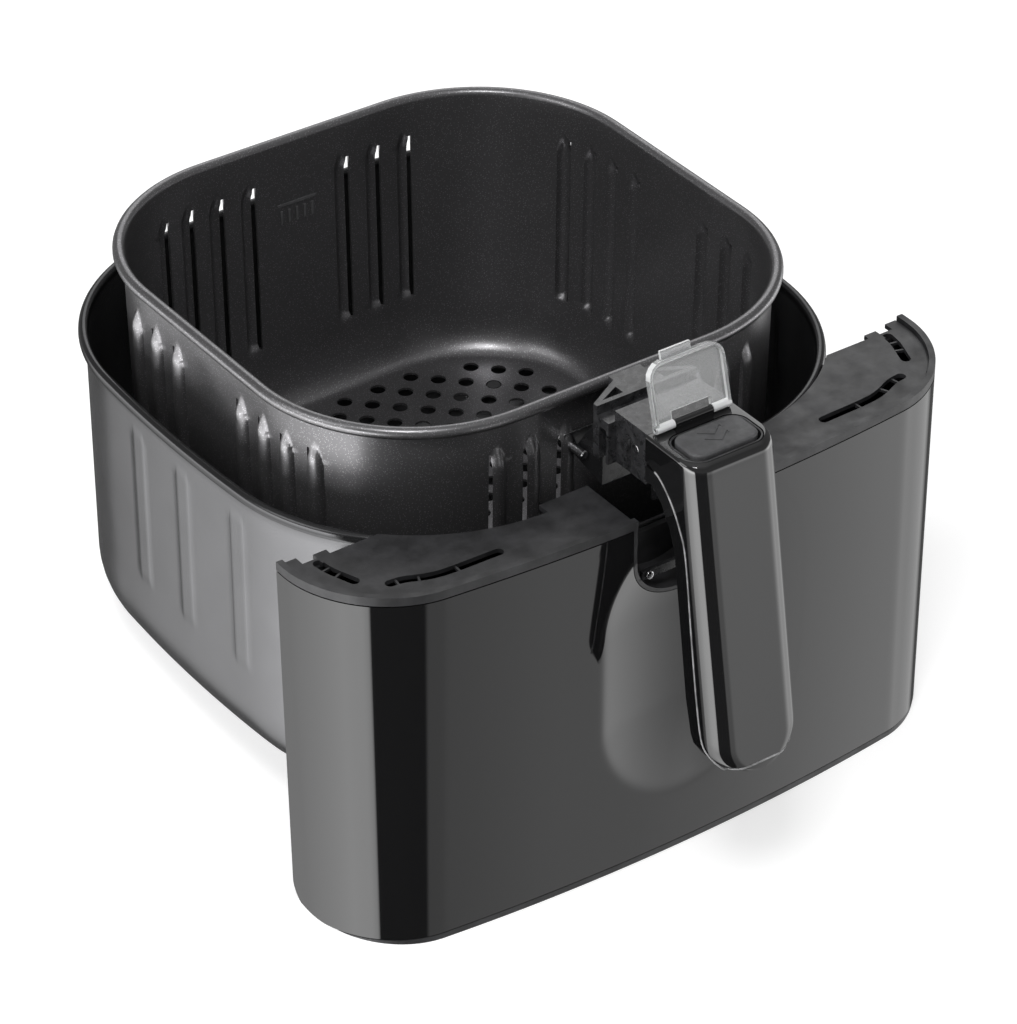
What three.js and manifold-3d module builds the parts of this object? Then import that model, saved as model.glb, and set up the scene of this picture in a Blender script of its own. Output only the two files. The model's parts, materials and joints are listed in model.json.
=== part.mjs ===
// Air fryer drawer: a coated pan behind a glossy front, and a lift-out basket with its handle.
// Millimetres, +Z up, +X to the right and -Y to the front. The origin is the centre of the pan's underside.
// The basket stands lifted above its seat, and the clear guard over the release button stands open.
import * as THREE from "three";
import { mergeGeometries, mergeVertices } from "three/addons/utils/BufferGeometryUtils.js";
import Module from "manifold-3d";

const wasm = await Module();
wasm.setup();

// ---------------------------------------------------------------- driving dimensions

const cornerSteps = 8; // facets round a large corner
const coveSteps = 4;
const rimSteps = 6;
const slotSteps = 6;
const fit = 0.3; // clearance between two pieces that seat on each other
const beyond = 40; // how far a cutting tool runs past what it cuts
const through = 2; // how far a bore runs past a thin wall

const pan = {
  halfX: 127.5, // rim's outer edge at the middle of a side
  halfY: 125.8,
  corner: 83, // plan radius of the rim's corners
  bow: 1.5, // how far a side swells between its corners
  height: 127.2,
  lip: 2.7, // how far the rim stands out from the wall
  rimDepth: 4.6,
  rimTurn: 1, // inset of the rim's outer turns
  crown: 2, // inset of its highest line
  crownDrop: 0.6, // from that line to the turns beside it
  wall: 1.2,
  floorRadius: 28, // between the wall and the floor
  gateHalf: 23.5, // half width of the gap in the front wall for the basket's neck
  gateDepth: 21.2, // from the rim down to the gap's floor
};

// Places ahead of, behind, above and below the pan's front rim are measured from it.
const rimY = -pan.halfY;
const rimZ = pan.height;
const gateFloor = rimZ - pan.gateDepth;

const basket = {
  halfX: pan.halfX - 16.8, // rim's outer edge
  halfY: pan.halfY - 17.4,
  corner: 68.2,
  backset: 2.1, // the basket's centre lies this far behind the pan's
  rimTop: rimZ + 0.3, // when seated in the pan
  curl: 2.4, // radius of the curled rim
  floorTop: 9.4, // when seated
  wall: 1,
  coveRadius: 13,
  draft: 1.5, // how far each wall leans in, rim to floor
  lift: 34, // how far it is raised out of its seat
};

const vents = {
  pitch: 16.2, // floor holes, along X and along Y
  radius: 3.2,
  shift: 0.85, // the lattice's middle lies this far behind the basket's
  margin: 18.7, // from the basket's rim to the outermost holes' edge
  cornerCut: 143, // the pattern stops where |x| + |y| passes this
  slitWidth: 1.8,
  slitLow: 35,
  slitHigh: rimZ - 18.2,
  slitPlaces: [-63.5, -49.2, -34.9, -20.3, 23.5, 38.4, 53.6], // along a wall, seen from inside
  slitCut: 8, // depth of the tool that cuts a slit
};

// Each foot stands in one of the floor's holes, given by its column and row.
const foot = { radius: 6, stem: 2.6, edge: 1, column: 8, backRow: 7, frontRow: -9 };

const front = {
  halfTop: pan.halfX + 13.7,
  halfLow: pan.halfX + 11.2,
  cornerTop: 38.9,
  cornerLow: 34.4,
  sideY: rimY + 28.8, // where the wrapped ends stop
  lineY: rimY - 14.5, // the front curve's line at its corners
  bow: 10.2, // how far the middle swells forward of that line
  top: rimZ + 0.2,
  bottom: -25,
  wall: 2.5,
  trimHeight: 3,
  seam: 0.5, // shadow line between the panel and its neighbours
};

const scoop = { halfWidth: 40, low: 4, high: rimZ - 3.2, depth: 5, endFacets: 36, roundFacets: 84 };

const ledge = {
  plate: 1.8,
  lip: 3.5, // height of the raised front edge
  lipWidth: 2.6,
  slotHalf: 2,
  slots: [
    [
      [pan.halfX - 13, rimY - 2.9],
      [pan.halfX - 18, rimY - 3.7],
      [pan.halfX - 30.5, rimY - 8],
      [pan.halfX - 54.5, rimY - 9.1],
    ],
    [
      [pan.halfX + 0.9, rimY + 21.4],
      [pan.halfX - 0.1, rimY + 15.5],
      [pan.halfX - 3.6, rimY + 5.6],
    ],
  ],
  wingY: rimY + 24.5, // back edge beside the pan
  wingEnd: 5.5 + pan.halfX, // outside this the ends reach back to the front's own ends
  tab: { near: pan.halfX - 6, far: pan.halfX - 0.5, reach: 2.6 },
  coverHalf: 44.5, // the middle stretch reaches over the pan's rim
  coverY: rimY + 6.3,
  rimGap: 0.6,
};

const cradle = {
  half: pan.gateHalf - 0.3,
  wall: 1.5,
  centreZ: rimZ - 11.7,
  backY: rimY - 2.1,
  frontY: rimY - 24,
};

const frame = { wall: 2.4, gap: 0.6, underRim: 5.6, gateGap: 1, bossRadius: 5, bossDepth: 6 };

const neck = {
  half: cradle.half - 4.7,
  low: rimZ - 17.2,
  top: rimZ + 3.8,
  wall: 2,
  frontY: rimY - 22.2,
  flangeHalf: cradle.half - 1.2,
  flangeBack: rimY + 4.8,
  flangeFront: rimY - 4.2,
  flangeLow: rimZ - 17.4,
  flangeTop: rimZ,
  noseHalf: 7,
  noseBack: rimY + 16.3,
  noseShoulder: rimY + 13.3,
  noseLow: rimZ - 5.7,
  lug: 5,
  lugRise: 9, // from the arm's underside to the lugs
  screwX: cradle.half - 11.2,
};

const bracket = {
  half: neck.half - 1.1,
  earHalf: neck.half + 3.7,
  sheet: 1.2,
  low: rimZ - 28.7,
  lowInFront: rimZ - 33,
  earTop: rimZ - 18.7,
  top: rimZ - 9,
  shoulder: 5.5,
  rivetX: neck.half + 0.9,
  rivetZ: rimZ - 23.7,
  rivetLength: 9, // how far each rivet stands out in front
};

const grip = {
  half: pan.gateHalf - 4.1,
  low: 6.8,
  top: rimZ + 3.8, // the basket seated
  midY: rimY - 61.9, // the front face's place at midZ
  midZ: 61,
  slope: 0.17, // how far the face leans out for each millimetre down
  frontRound: 8.5,
  topRound: 4,
  lowRound: 12.5,
  wall: 2,
  backY: rimY - 22.4,
  parting: [
    [rimY - 20.4, rimZ - 8],
    [rimY - 29.2, rimZ - 8.6],
    [rimY - 37, rimZ - 14.9],
    [rimY - 43.1, rimZ - 24.2],
    [rimY - 47, rimZ - 34.9],
    [rimY - 51.7, 60.4],
    [rimY - 55.8, 34.2],
    [rimY - 59.6, 18.4],
    [rimY - 66.8, 9.6],
    [rimY - 73.2, 9.4],
  ],
  depth: 6.5, // how far the back shell stands behind the parting line
  bossRadius: 3.4,
  turnSteps: 5,
  screwHeights: [40, rimZ - 43.2],
};

const button = {
  half: grip.half - 4.9,
  frontY: rimY - 45.6,
  backY: rimY - 29.8,
  corner: 4.5,
  thick: 3.4,
  proud: 1.3,
  gap: 1.1,
  stem: 2,
  stemGap: 0.5,
};

const bezel = { wall: 0.9, floorTop: rimZ - 3.2, floor: 1.2, sunk: 0.1 };

const spring = { radius: 3.4, wire: 0.45, turns: 3, turnSteps: 12 };

const guard = {
  half: grip.half - 3,
  length: 24.4,
  thick: 1.3,
  over: 0.1, // how far the closed plate lies above the hinge line
  corner: 6,
  skirt: 1.2,
  openDegrees: 105,
};
const guardTab = { left: -9.5, right: 3.5, reach: 3 };
const hinge = { y: rimY - 24, rise: 2, radius: 1.7, half: 8.2, pin: 0.7, recess: 4.5 };

const latch = {
  pivotY: rimY - 15.7,
  pivotZ: rimZ - 5.7,
  half: pan.gateHalf - 14.5,
  armHalf: 5,
  plate: 1.4,
  hub: 3,
  pin: 1.5,
  toeLow: cradle.centreZ - cradle.half + 2.7,
  toeTop: cradle.centreZ - cradle.half + 7.4,
  toeTip: rimY - 17.4,
};

const catchBar = { depth: 1.5, height: 3.6, seatHalf: 2.5, seatDepth: 3, screwDepth: 2 };

const screw = { radius: 1.7, head: 3.2, headHeight: 1.4 };
const smallScrew = { radius: 1, head: 1.7, headHeight: 0.8 };
const rivet = { ...screw, headHeight: 1 };
const panScrew = { x: 30, heights: [38, rimZ - 35.2], stand: 1 }; // heads clear of the pan's bowed wall

// ---------------------------------------------------------------- solids

function toSolid(geometry) {
  const bare = geometry.clone();
  bare.deleteAttribute("normal");
  bare.deleteAttribute("uv");
  const merged = mergeVertices(bare, 1e-4);
  const mesh = new wasm.Mesh({
    numProp: 3,
    vertProperties: new Float32Array(merged.attributes.position.array),
    triVerts: new Uint32Array(merged.index.array),
  });
  return new wasm.Manifold(mesh);
}

function toGeometry(solid) {
  const mesh = solid.getMesh();
  const geometry = new THREE.BufferGeometry();
  geometry.setAttribute("position", new THREE.BufferAttribute(mesh.vertProperties, 3));
  geometry.setIndex(new THREE.BufferAttribute(mesh.triVerts, 1));
  geometry.computeVertexNormals();
  return geometry;
}

const joined = (solids) => solids.reduce((sum, next) => sum.add(next));
const without = (solid, cuts) => cuts.reduce((left, cut) => left.subtract(cut), solid);
const bothSides = (make) => [-1, 1].map(make);

function block([x0, x1], [y0, y1], [z0, z1]) {
  const geometry = new THREE.BoxGeometry(x1 - x0, y1 - y0, z1 - z0);
  geometry.translate((x0 + x1) / 2, (y0 + y1) / 2, (z0 + z1) / 2);
  return toSolid(geometry);
}

// A round bar between two points.
function rod(radius, from, to, sides = 16) {
  const start = new THREE.Vector3(...from);
  const along = new THREE.Vector3(...to).sub(start);
  const geometry = new THREE.CylinderGeometry(radius, radius, along.length(), sides);
  geometry.translate(0, along.length() / 2, 0);
  const turn = new THREE.Quaternion().setFromUnitVectors(new THREE.Vector3(0, 1, 0), along.normalize());
  geometry.applyQuaternion(turn);
  geometry.translate(...from);
  return toSolid(geometry);
}

function extruded(outline, depth) {
  return new THREE.ExtrudeGeometry(new THREE.Shape(outline), { depth, bevelEnabled: false });
}

// A plan outline raised between two heights.
function prism(outline, [z0, z1]) {
  const geometry = extruded(outline, z1 - z0);
  geometry.translate(0, 0, z0);
  return toSolid(geometry);
}

const ordered = (a, b) => [Math.min(a, b), Math.max(a, b)];

// A side outline of [y, z] points carried across X.
function sidePrism(points, [x0, x1]) {
  const outline = points.map(([y, z]) => new THREE.Vector2(y, z));
  const geometry = extruded(outline, x1 - x0);
  geometry.rotateX(Math.PI / 2).rotateZ(Math.PI / 2);
  geometry.translate(x0, 0, 0);
  return toSolid(geometry);
}

// A skin over plan outlines of equal length, each drawn counterclockwise, closed by flat ends.
function loft(rings) {
  const count = rings[0].outline.length;
  const points = rings.flatMap(({ outline, z }) => outline.flatMap(({ x, y }) => [x, y, z]));
  const faces = [];
  for (let start = 0; start < (rings.length - 1) * count; start += count)
    for (let i = 0; i < count; i++) {
      const [here, next] = [start + i, start + ((i + 1) % count)];
      faces.push(here, next, next + count, here, next + count, here + count);
    }
  const last = (rings.length - 1) * count;
  for (const [a, b, c] of THREE.ShapeUtils.triangulateShape(rings[0].outline, [])) faces.push(a, c, b);
  for (const [a, b, c] of THREE.ShapeUtils.triangulateShape(rings.at(-1).outline, []))
    faces.push(last + a, last + b, last + c);
  const geometry = new THREE.BufferGeometry();
  geometry.setAttribute("position", new THREE.Float32BufferAttribute(points, 3));
  geometry.setIndex(faces);
  return toSolid(geometry);
}

// ---------------------------------------------------------------- outlines

function arc([x, y], radius, [from, to], steps) {
  return Array.from({ length: steps + 1 }, (_, i) => {
    const angle = THREE.MathUtils.degToRad(from + ((to - from) * i) / steps);
    return new THREE.Vector2(x + radius * Math.cos(angle), y + radius * Math.sin(angle));
  });
}

// A rectangle with round corners, counterclockwise.
function roundRectangle([x0, x1], [y0, y1], radius, steps = 4) {
  return [
    ...arc([x1 - radius, y1 - radius], radius, [0, 90], steps),
    ...arc([x0 + radius, y1 - radius], radius, [90, 180], steps),
    ...arc([x0 + radius, y0 + radius], radius, [180, 270], steps),
    ...arc([x1 - radius, y0 + radius], radius, [270, 360], steps),
  ];
}

// A rectangle with large round corners and sides that swell by "bow", drawn "inset" inside its edge.
function softRectangle({ halfX, halfY, corner, bow = 0, backset = 0 }, inset) {
  const radius = corner - inset;
  const [centreX, centreY] = [halfX - corner - bow, halfY - corner - bow];
  const sideTurn = (centre, other) => {
    if (!bow) return 0;
    const sideRadius = ((radius + bow) ** 2 + other ** 2 - radius ** 2) / (2 * bow);
    return THREE.MathUtils.radToDeg(Math.atan2(other, sideRadius - radius - bow));
  };
  const turns = [sideTurn(centreX, centreY), 90 - sideTurn(centreY, centreX)];
  const bend = arc([centreX, centreY], radius, turns, cornerSteps);
  const right = bow ? [new THREE.Vector2(halfX - inset, 0)] : [];
  const back = bow ? [new THREE.Vector2(0, halfY - inset)] : [];
  const mirrored = (points, signX, signY) =>
    points.map(({ x, y }) => new THREE.Vector2(signX * x, signY * y));
  const outline = [
    ...right,
    ...bend,
    ...back,
    ...mirrored(bend, -1, 1).reverse(),
    ...mirrored(right, -1, 1),
    ...mirrored(bend, -1, -1),
    ...mirrored(back, 1, -1),
    ...mirrored(bend, 1, -1).reverse(),
  ];
  return outline.map(({ x, y }) => new THREE.Vector2(x, y + backset));
}

// The front's plan curve at a height, from its left end round to its right end.
function frontCurve(z, inset) {
  const rise = (z - front.bottom) / (front.top - front.bottom);
  const half = THREE.MathUtils.lerp(front.halfLow, front.halfTop, rise);
  const corner = THREE.MathUtils.lerp(front.cornerLow, front.cornerTop, rise);
  const [bendX, bendY] = [half - corner, front.lineY + corner];
  const middle = [-0.75, -0.5, -0.25, 0, 0.25, 0.5, 0.75].map(
    (share) => new THREE.Vector2(bendX * share, front.lineY + inset),
  );
  const points = [
    ...arc([-bendX, bendY], corner - inset, [180, 270], cornerSteps),
    ...middle,
    ...arc([bendX, bendY], corner - inset, [270, 360], cornerSteps),
  ];
  const bowed = points.map(({ x, y }) => new THREE.Vector2(x, y - front.bow * (1 - (x / half) ** 2)));
  const end = half - inset;
  return [new THREE.Vector2(-end, front.sideY), ...bowed, new THREE.Vector2(end, front.sideY)];
}

const frontVolume = (inset, heights) => loft(heights.map((z) => ({ z, outline: frontCurve(z, inset) })));

// A wall that follows the front curve between two insets.
function frontBand([outer, inner], heights) {
  const outline = (z) => [...frontCurve(z, outer), ...frontCurve(z, inner).reverse()];
  return loft(heights.map((z) => ({ z, outline: outline(z) })));
}

// A slot through the front along Y, half round below and open at the top.
function gateway(half, [y0, y1], top) {
  const round = rod(half, [0, y0, cradle.centreZ], [0, y1, cradle.centreZ], 32);
  return round.add(block([-half, half], [y0, y1], [cradle.centreZ, top]));
}

// ---------------------------------------------------------------- drawn vessels

// Rings for a deep-drawn vessel: up the outside, over the rim, and down the inside.
function vesselRings(vessel, { low, wall, outerInset, lean, cove, rim }) {
  const ring = ([inset, z]) => ({ z, outline: softRectangle(vessel, inset) });
  const bowl = (inset, z, radius) =>
    arc([inset + radius, z + radius], radius, [270, 180], coveSteps).map(({ x, y }) => [x, y]);
  const outside = bowl(outerInset + lean, low, cove + wall);
  const inside = bowl(outerInset + lean + wall, low + wall, cove).reverse();
  return [...outside, ...rim, ...inside].map(ring);
}

const levels = ["low", "high"];
const panScrewPlaces = [-1, 1].flatMap((side) =>
  panScrew.heights.map((z, i) => ({ side, level: levels[i], x: side * panScrew.x, z })),
);

function panSolid() {
  const { height, lip, rimDepth, rimTurn, crown, crownDrop, wall, floorRadius } = pan;
  const rim = [
    [lip, height - rimDepth],
    [rimTurn, height - rimDepth],
    [0, height - rimDepth / 2],
    [rimTurn, height - crownDrop],
    [crown, height],
    [lip, height - crownDrop],
    [lip + wall, height - rimDepth / 2],
  ];
  const shape = { low: 0, wall, outerInset: lip, lean: 0, cove: floorRadius - wall, rim };
  const frontOfPan = [-pan.halfY - beyond, -pan.halfY / 2];
  const gate = block([-pan.gateHalf, pan.gateHalf], frontOfPan, [gateFloor, height + beyond]);
  const [start, end] = frontOfPan;
  const holes = panScrewPlaces.map(({ x, z }) => rod(screw.radius + fit, [x, start, z], [x, end, z]));
  return without(loft(vesselRings(pan, shape)), [gate, ...holes]);
}

const basketWallInset = 1.6 * basket.curl;

function basketSolid() {
  const { rimTop, curl, wall, floorTop, draft, coveRadius } = basket;
  const middle = rimTop - curl;
  const rim = [
    [basketWallInset, middle - curl],
    ...arc([curl, middle], curl, [270, 0], rimSteps).map(({ x, y }) => [x, y]),
    [basketWallInset + wall, middle - curl],
  ];
  const low = floorTop - wall;
  const shape = { low, wall, outerInset: basketWallInset, lean: draft, cove: coveRadius, rim };
  return without(loft(vesselRings(basket, shape)), [floorHoles(), ...wallSlits(), ...rivetHoles()]);
}

// The floor holes lie on a square lattice turned by 45 degrees.
function ventPlace(column, row) {
  const half = vents.pitch / 2;
  return [column * half, basket.backset + vents.shift + (row + 0.5) * half];
}

function floorHoles() {
  const { radius, margin, cornerCut, pitch } = vents;
  const [reachX, reachY] = [basket.halfX - margin, basket.halfY - margin];
  const places = [];
  const count = Math.ceil((2 * reachX) / pitch);
  for (let column = -count; column <= count; column++)
    for (let row = -count; row <= count; row++) {
      const [x, y] = ventPlace(column, row);
      const depth = Math.abs(y - basket.backset - vents.shift);
      const inPattern = Math.abs(x) < reachX && depth < reachY && Math.abs(x) + depth < cornerCut;
      if ((column + row) % 2 !== 0 && inPattern) places.push([x, y]);
    }
  const hole = new THREE.CylinderGeometry(radius, radius, 4 * basket.wall, 6).rotateX(Math.PI / 2);
  return toSolid(mergeGeometries(places.map(([x, y]) => hole.clone().translate(x, y, basket.floorTop))));
}

// The slits of one wall, carried round to the other three.
// The bracket leaves no room for the middle ones in front.
function wallSlits() {
  const { slitWidth, slitLow, slitHigh, slitPlaces, slitCut } = vents;
  const inset = basketWallInset + basket.wall + basket.draft + slitCut / 8;
  return [0, 1, 2, 3].flatMap((wall) => {
    const atFront = wall === 2;
    const free = slitPlaces.filter((place) => !atFront || Math.abs(place) > bracket.earHalf);
    const depth = (wall % 2 ? basket.halfX : basket.halfY) - inset;
    return free.map((place) => {
      const slit = new THREE.BoxGeometry(slitWidth, slitCut, slitHigh - slitLow);
      slit.translate(place, depth + slitCut / 2, (slitLow + slitHigh) / 2);
      slit.rotateZ((-wall * Math.PI) / 2).translate(0, basket.backset, 0);
      return toSolid(slit);
    });
  });
}

// The outer face of the basket's front wall, at the rim.
const basketFrontY = basket.backset - basket.halfY + basketWallInset;

const rivetHoles = () =>
  bothSides((side) => {
    const [x, z] = [side * bracket.rivetX, bracket.rivetZ];
    const [outer, inner] = [basketFrontY - through, basketFrontY + basket.wall + 2 * through];
    return rod(screw.radius + fit, [x, outer, z], [x, inner, z]);
  });

// A silicone foot: a disc under the floor, with a stem held in one of its holes.
function footSolid() {
  const [low, shoulder, high] = [pan.wall + fit, basket.floorTop - basket.wall - fit, basket.floorTop];
  const profile = [
    [0, low],
    [foot.radius - foot.edge, low],
    [foot.radius, low + foot.edge],
    [foot.radius, shoulder],
    [foot.stem, shoulder],
    [foot.stem, high],
    [0, high],
  ].map(([x, y]) => new THREE.Vector2(x, y));
  return toSolid(new THREE.LatheGeometry(profile, 12).rotateX(Math.PI / 2));
}

// ---------------------------------------------------------------- the fixed front

const panelHeights = [front.bottom + front.trimHeight + front.seam, front.top];

// The finger recess: a tall, round-ended trough that the panel is pressed in to.
function scoopSolid(grow) {
  const radius = (scoop.halfWidth ** 2 + scoop.depth ** 2) / (2 * scoop.depth);
  const axisY = front.lineY - front.bow + scoop.depth - radius;
  const [low, high] = [scoop.low + scoop.halfWidth, scoop.high - scoop.halfWidth];
  const { endFacets, roundFacets } = scoop;
  const trough = new THREE.CapsuleGeometry(radius + grow, high - low, endFacets, roundFacets, 1);
  return toSolid(trough.rotateX(Math.PI / 2).translate(0, axisY, (low + high) / 2));
}

function panelSolid() {
  const skin = frontBand([0, front.wall], panelHeights);
  const bulge = frontVolume(front.wall / 2, panelHeights).intersect(scoopSolid(front.wall));
  const notchHalf = cradle.half + cradle.wall + fit;
  const notch = gateway(notchHalf, [front.lineY - beyond, cradle.backY], front.top + beyond);
  return without(skin.add(bulge), [scoopSolid(0), notch]);
}

const panPrism = (inset, heights) => prism(softRectangle(pan, inset), heights);

// Cutters for a slot that follows a path, round at every point.
function slotRun(path, side, tall) {
  const half = ledge.slotHalf;
  return path.slice(1).map((point, i) => {
    const [start, end] = [path[i], point].map(([x, y]) => new THREE.Vector2(side * x, y));
    const turn = THREE.MathUtils.radToDeg(end.clone().sub(start).angle());
    const farEnd = arc([start.distanceTo(end), 0], half, [-90, 90], slotSteps);
    const outline = [...arc([0, 0], half, [90, 270], slotSteps), ...farEnd];
    return prism(outline, tall).rotate([0, 0, turn]).translate([start.x, start.y, 0]);
  });
}

function ledgeSolid() {
  const [low, high] = [front.top + front.seam, front.top + front.seam + ledge.plate];
  const top = low + ledge.lip;
  const plate = frontVolume(0, [low, high]).add(frontBand([0, ledge.lipWidth], [low, top]));
  const tall = [low - beyond, top + beyond];
  const overRim = block([-ledge.coverHalf, ledge.coverHalf], [front.lineY - beyond, ledge.coverY], tall);
  const behind = without(panPrism(-ledge.rimGap, tall), [overRim]);
  const gate = block([-cradle.half, cradle.half], [front.lineY - beyond, 0], tall);
  const inWings = block([-ledge.wingEnd, ledge.wingEnd], [ledge.wingY, 0], tall);
  const slots = bothSides((side) => ledge.slots.flatMap((path) => slotRun(path, side, tall))).flat();
  const tabs = bothSides((side) => {
    const reach = ordered(side * ledge.tab.near, side * ledge.tab.far);
    return block(reach, [ledge.wingY - ledge.lip, ledge.wingY + ledge.tab.reach], [low, high]);
  });
  return joined([without(plate, [behind, gate, inWings, ...slots]), ...tabs, cradleSolid(high)]);
}

function trimSolid() {
  const heights = [front.bottom, front.bottom + front.trimHeight];
  const tall = [front.bottom - beyond, front.bottom + beyond];
  return frontVolume(fit, heights).subtract(panPrism(pan.lip - frame.gap, tall));
}

// The inner housing: a wall close round the pan's front, wings out to the panel's ends, and screw bosses.
function frameSolid() {
  const low = front.bottom + front.trimHeight + fit;
  const [wingTop, wallTop] = [front.top + front.seam - fit, pan.height - frame.underRim];
  const inFront = block([-pan.halfX, pan.halfX], [front.lineY, ledge.wingY], [low, wallTop]);
  const wall = inFront.intersect(panPrism(pan.lip - frame.gap - frame.wall, [low, wallTop]));
  const wings = frontVolume(front.wall + fit, [low, wingTop]).intersect(
    block([-front.halfTop, front.halfTop], [ledge.wingY - frame.wall, ledge.wingY], [low, wingTop]),
  );
  const bosses = panScrewPlaces.map(({ x, z }) => {
    const y = -pan.halfY + pan.lip - frame.gap - frame.wall;
    return rod(frame.bossRadius, [x, y + frame.wall / 2, z], [x, y - frame.bossDepth, z]);
  });
  const boreEnd = -pan.halfY - frame.bossDepth + through;
  const bores = panScrewPlaces.map(({ x, z }) => {
    return rod(screw.radius + fit, [x, -pan.halfY + pan.lip + through, z], [x, boreEnd, z]);
  });
  const room = panPrism(pan.lip - frame.gap, [low - beyond, wallTop]);
  const rimRoom = panPrism(-frame.gap, [wallTop, front.top + beyond]);
  const gateHalf = cradle.half + frame.gateGap;
  const gateHeights = [gateFloor - frame.gateGap, front.top + beyond];
  const gate = block([-gateHalf, gateHalf], [front.lineY, 0], gateHeights);
  return without(joined([wall, wings, ...bosses]), [room, rimRoom, gate, ...bores]);
}

const catchSeatY = latch.toeTip - fit; // the catch bar's back face
const catchLow = latch.toeTop + fit;

// The round-bottomed liner of the notch, moulded with the ledge, with two seats for the catch bar.
function cradleSolid(top) {
  const { half, wall, centreZ, backY, frontY } = cradle;
  const outer = gateway(half + wall, [frontY, backY], top);
  const inner = gateway(half, [frontY - beyond, backY + beyond], front.top + beyond);
  const seats = bothSides((side) => {
    const x = side * catchScrewX;
    const reach = [x - catchBar.seatHalf, x + catchBar.seatHalf];
    const heights = [centreZ - half - wall, catchLow + catchBar.height];
    const post = block(reach, [catchSeatY + fit, catchSeatY + catchBar.seatDepth], heights);
    return post.intersect(outer);
  });
  const bores = bothSides((side) => catchScrewHole(side));
  const skin = without(outer, [inner, scoopSolid(0)]);
  return without(joined([skin, ...seats]), bores);
}

const catchHalf = Math.sqrt(cradle.half ** 2 - (cradle.centreZ - catchLow) ** 2) - fit;
const catchScrewX = catchHalf - catchBar.seatHalf - fit;
const catchMidZ = catchLow + catchBar.height / 2;

function catchScrewHole(side) {
  const x = side * catchScrewX;
  const [mouth, end] = [catchSeatY - catchBar.depth - through, catchSeatY + catchBar.screwDepth + fit];
  return rod(smallScrew.radius + fit, [x, mouth, catchMidZ], [x, end, catchMidZ], 10);
}

function catchSolid() {
  const bar = block(
    [-catchHalf, catchHalf],
    [catchSeatY - catchBar.depth, catchSeatY],
    [catchLow, catchLow + catchBar.height],
  );
  return without(bar, bothSides(catchScrewHole));
}

// A headed screw or rivet, drawn along Y with its tip towards "tip".
function fastener({ radius, head, headHeight }, [x, z], headY, tipY) {
  const inward = Math.sign(tipY - headY);
  const cap = rod(head, [x, headY, z], [x, headY + inward * headHeight, z], 14);
  return cap.add(rod(radius, [x, headY + (inward * headHeight) / 2, z], [x, tipY, z], 12));
}

// ---------------------------------------------------------------- the basket's neck

const bracketBackY = basketFrontY - fit;
const bracketFrontY = neck.flangeBack + fit;
const armScrewZ = (neck.flangeLow + bracket.top) / 2;

// Screw bores through the bracket and in to the neck's flange.
const armBores = ([y0, y1]) =>
  bothSides((side) => {
    const x = side * neck.screwX;
    return rod(screw.radius + fit, [x, y0, armScrewZ], [x, y1, armScrewZ]);
  });

// A folded steel bracket: ears on the basket's wall, two gussets, and a plate behind the neck's flange.
function bracketSolid() {
  const { half, earHalf, sheet, low, lowInFront, earTop, top, shoulder } = bracket;
  const ears = block([-earHalf, earHalf], [bracketBackY - sheet, bracketBackY], [low, earTop]);
  const plate = block([-half, half], [bracketFrontY, bracketFrontY + sheet], [lowInFront, top]);
  const gusset = [
    [bracketBackY, low],
    [bracketFrontY, lowInFront],
    [bracketFrontY, top],
    [bracketFrontY + shoulder, top],
    [bracketBackY, low + sheet],
  ];
  const gussets = bothSides((side) => sidePrism(gusset, ordered(side * half, side * (half - sheet))));
  const bores = armBores([bracketFrontY - through, bracketFrontY + sheet + through]);
  return without(joined([ears, plate, ...gussets]), [...bores, ...rivetHoles()]);
}

// A round bar on the latch's pivot.
const pinRod = (radius, reach) =>
  rod(radius, [-reach, latch.pivotY, latch.pivotZ], [reach, latch.pivotY, latch.pivotZ]);

// The neck: a notched nose, a flange that drops through the pan's gap, and a hollow arm that enters the grip.
function armSolid() {
  const { half, low, top, wall, frontY, flangeHalf, flangeBack, flangeFront, flangeLow, flangeTop } = neck;
  const { noseHalf, noseBack, noseShoulder, noseLow, lug, lugRise } = neck;
  const nose = [
    [-noseHalf, noseBack],
    [-noseHalf, noseShoulder],
    [-flangeHalf, flangeBack],
    [-flangeHalf, flangeBack - wall],
    [flangeHalf, flangeBack - wall],
    [flangeHalf, flangeBack],
    [noseHalf, noseShoulder],
    [noseHalf, noseBack],
  ].map(([x, y]) => new THREE.Vector2(x, y));
  const pockets = bothSides((side) =>
    prism(
      [
        new THREE.Vector2(side * (noseHalf + wall), noseShoulder - 2 * wall),
        new THREE.Vector2(side * (noseHalf + wall), flangeBack),
        new THREE.Vector2(side * (flangeHalf - 2 * wall), flangeBack),
      ],
      [noseLow - through, top + through],
    ),
  );
  const flange = block([-flangeHalf, flangeHalf], [flangeFront, flangeBack], [flangeLow, flangeTop]);
  const arm = block([-half, half], [frontY, flangeFront + wall / 2], [low, top]);
  const lugHalf = grip.half - grip.wall - fit;
  const lugHeights = [low + lugRise, grip.top - grip.wall - fit];
  const lugs = bothSides((side) => {
    const reach = ordered(side * lugHalf, side * (lugHalf - lug));
    return block(reach, [frontY + wall / 2 - lug, frontY + wall], lugHeights);
  });
  const inside = [frontY - beyond, flangeFront - wall];
  const hollow = block([wall - half, half - wall], inside, [low - beyond, top - wall]);
  const cuts = [...pockets, hollow, pinRod(latch.pin + fit, half + through)];
  const bores = armBores([flangeBack + through, flangeFront + wall - fit]);
  const body = without(joined([prism(nose, [noseLow, top]), flange, arm]), [...cuts, ...bores]);
  return joined([body, ...lugs]);
}

// ---------------------------------------------------------------- the grip

const faceY = (z) => grip.midY + grip.slope * (z - grip.midZ);

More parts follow.
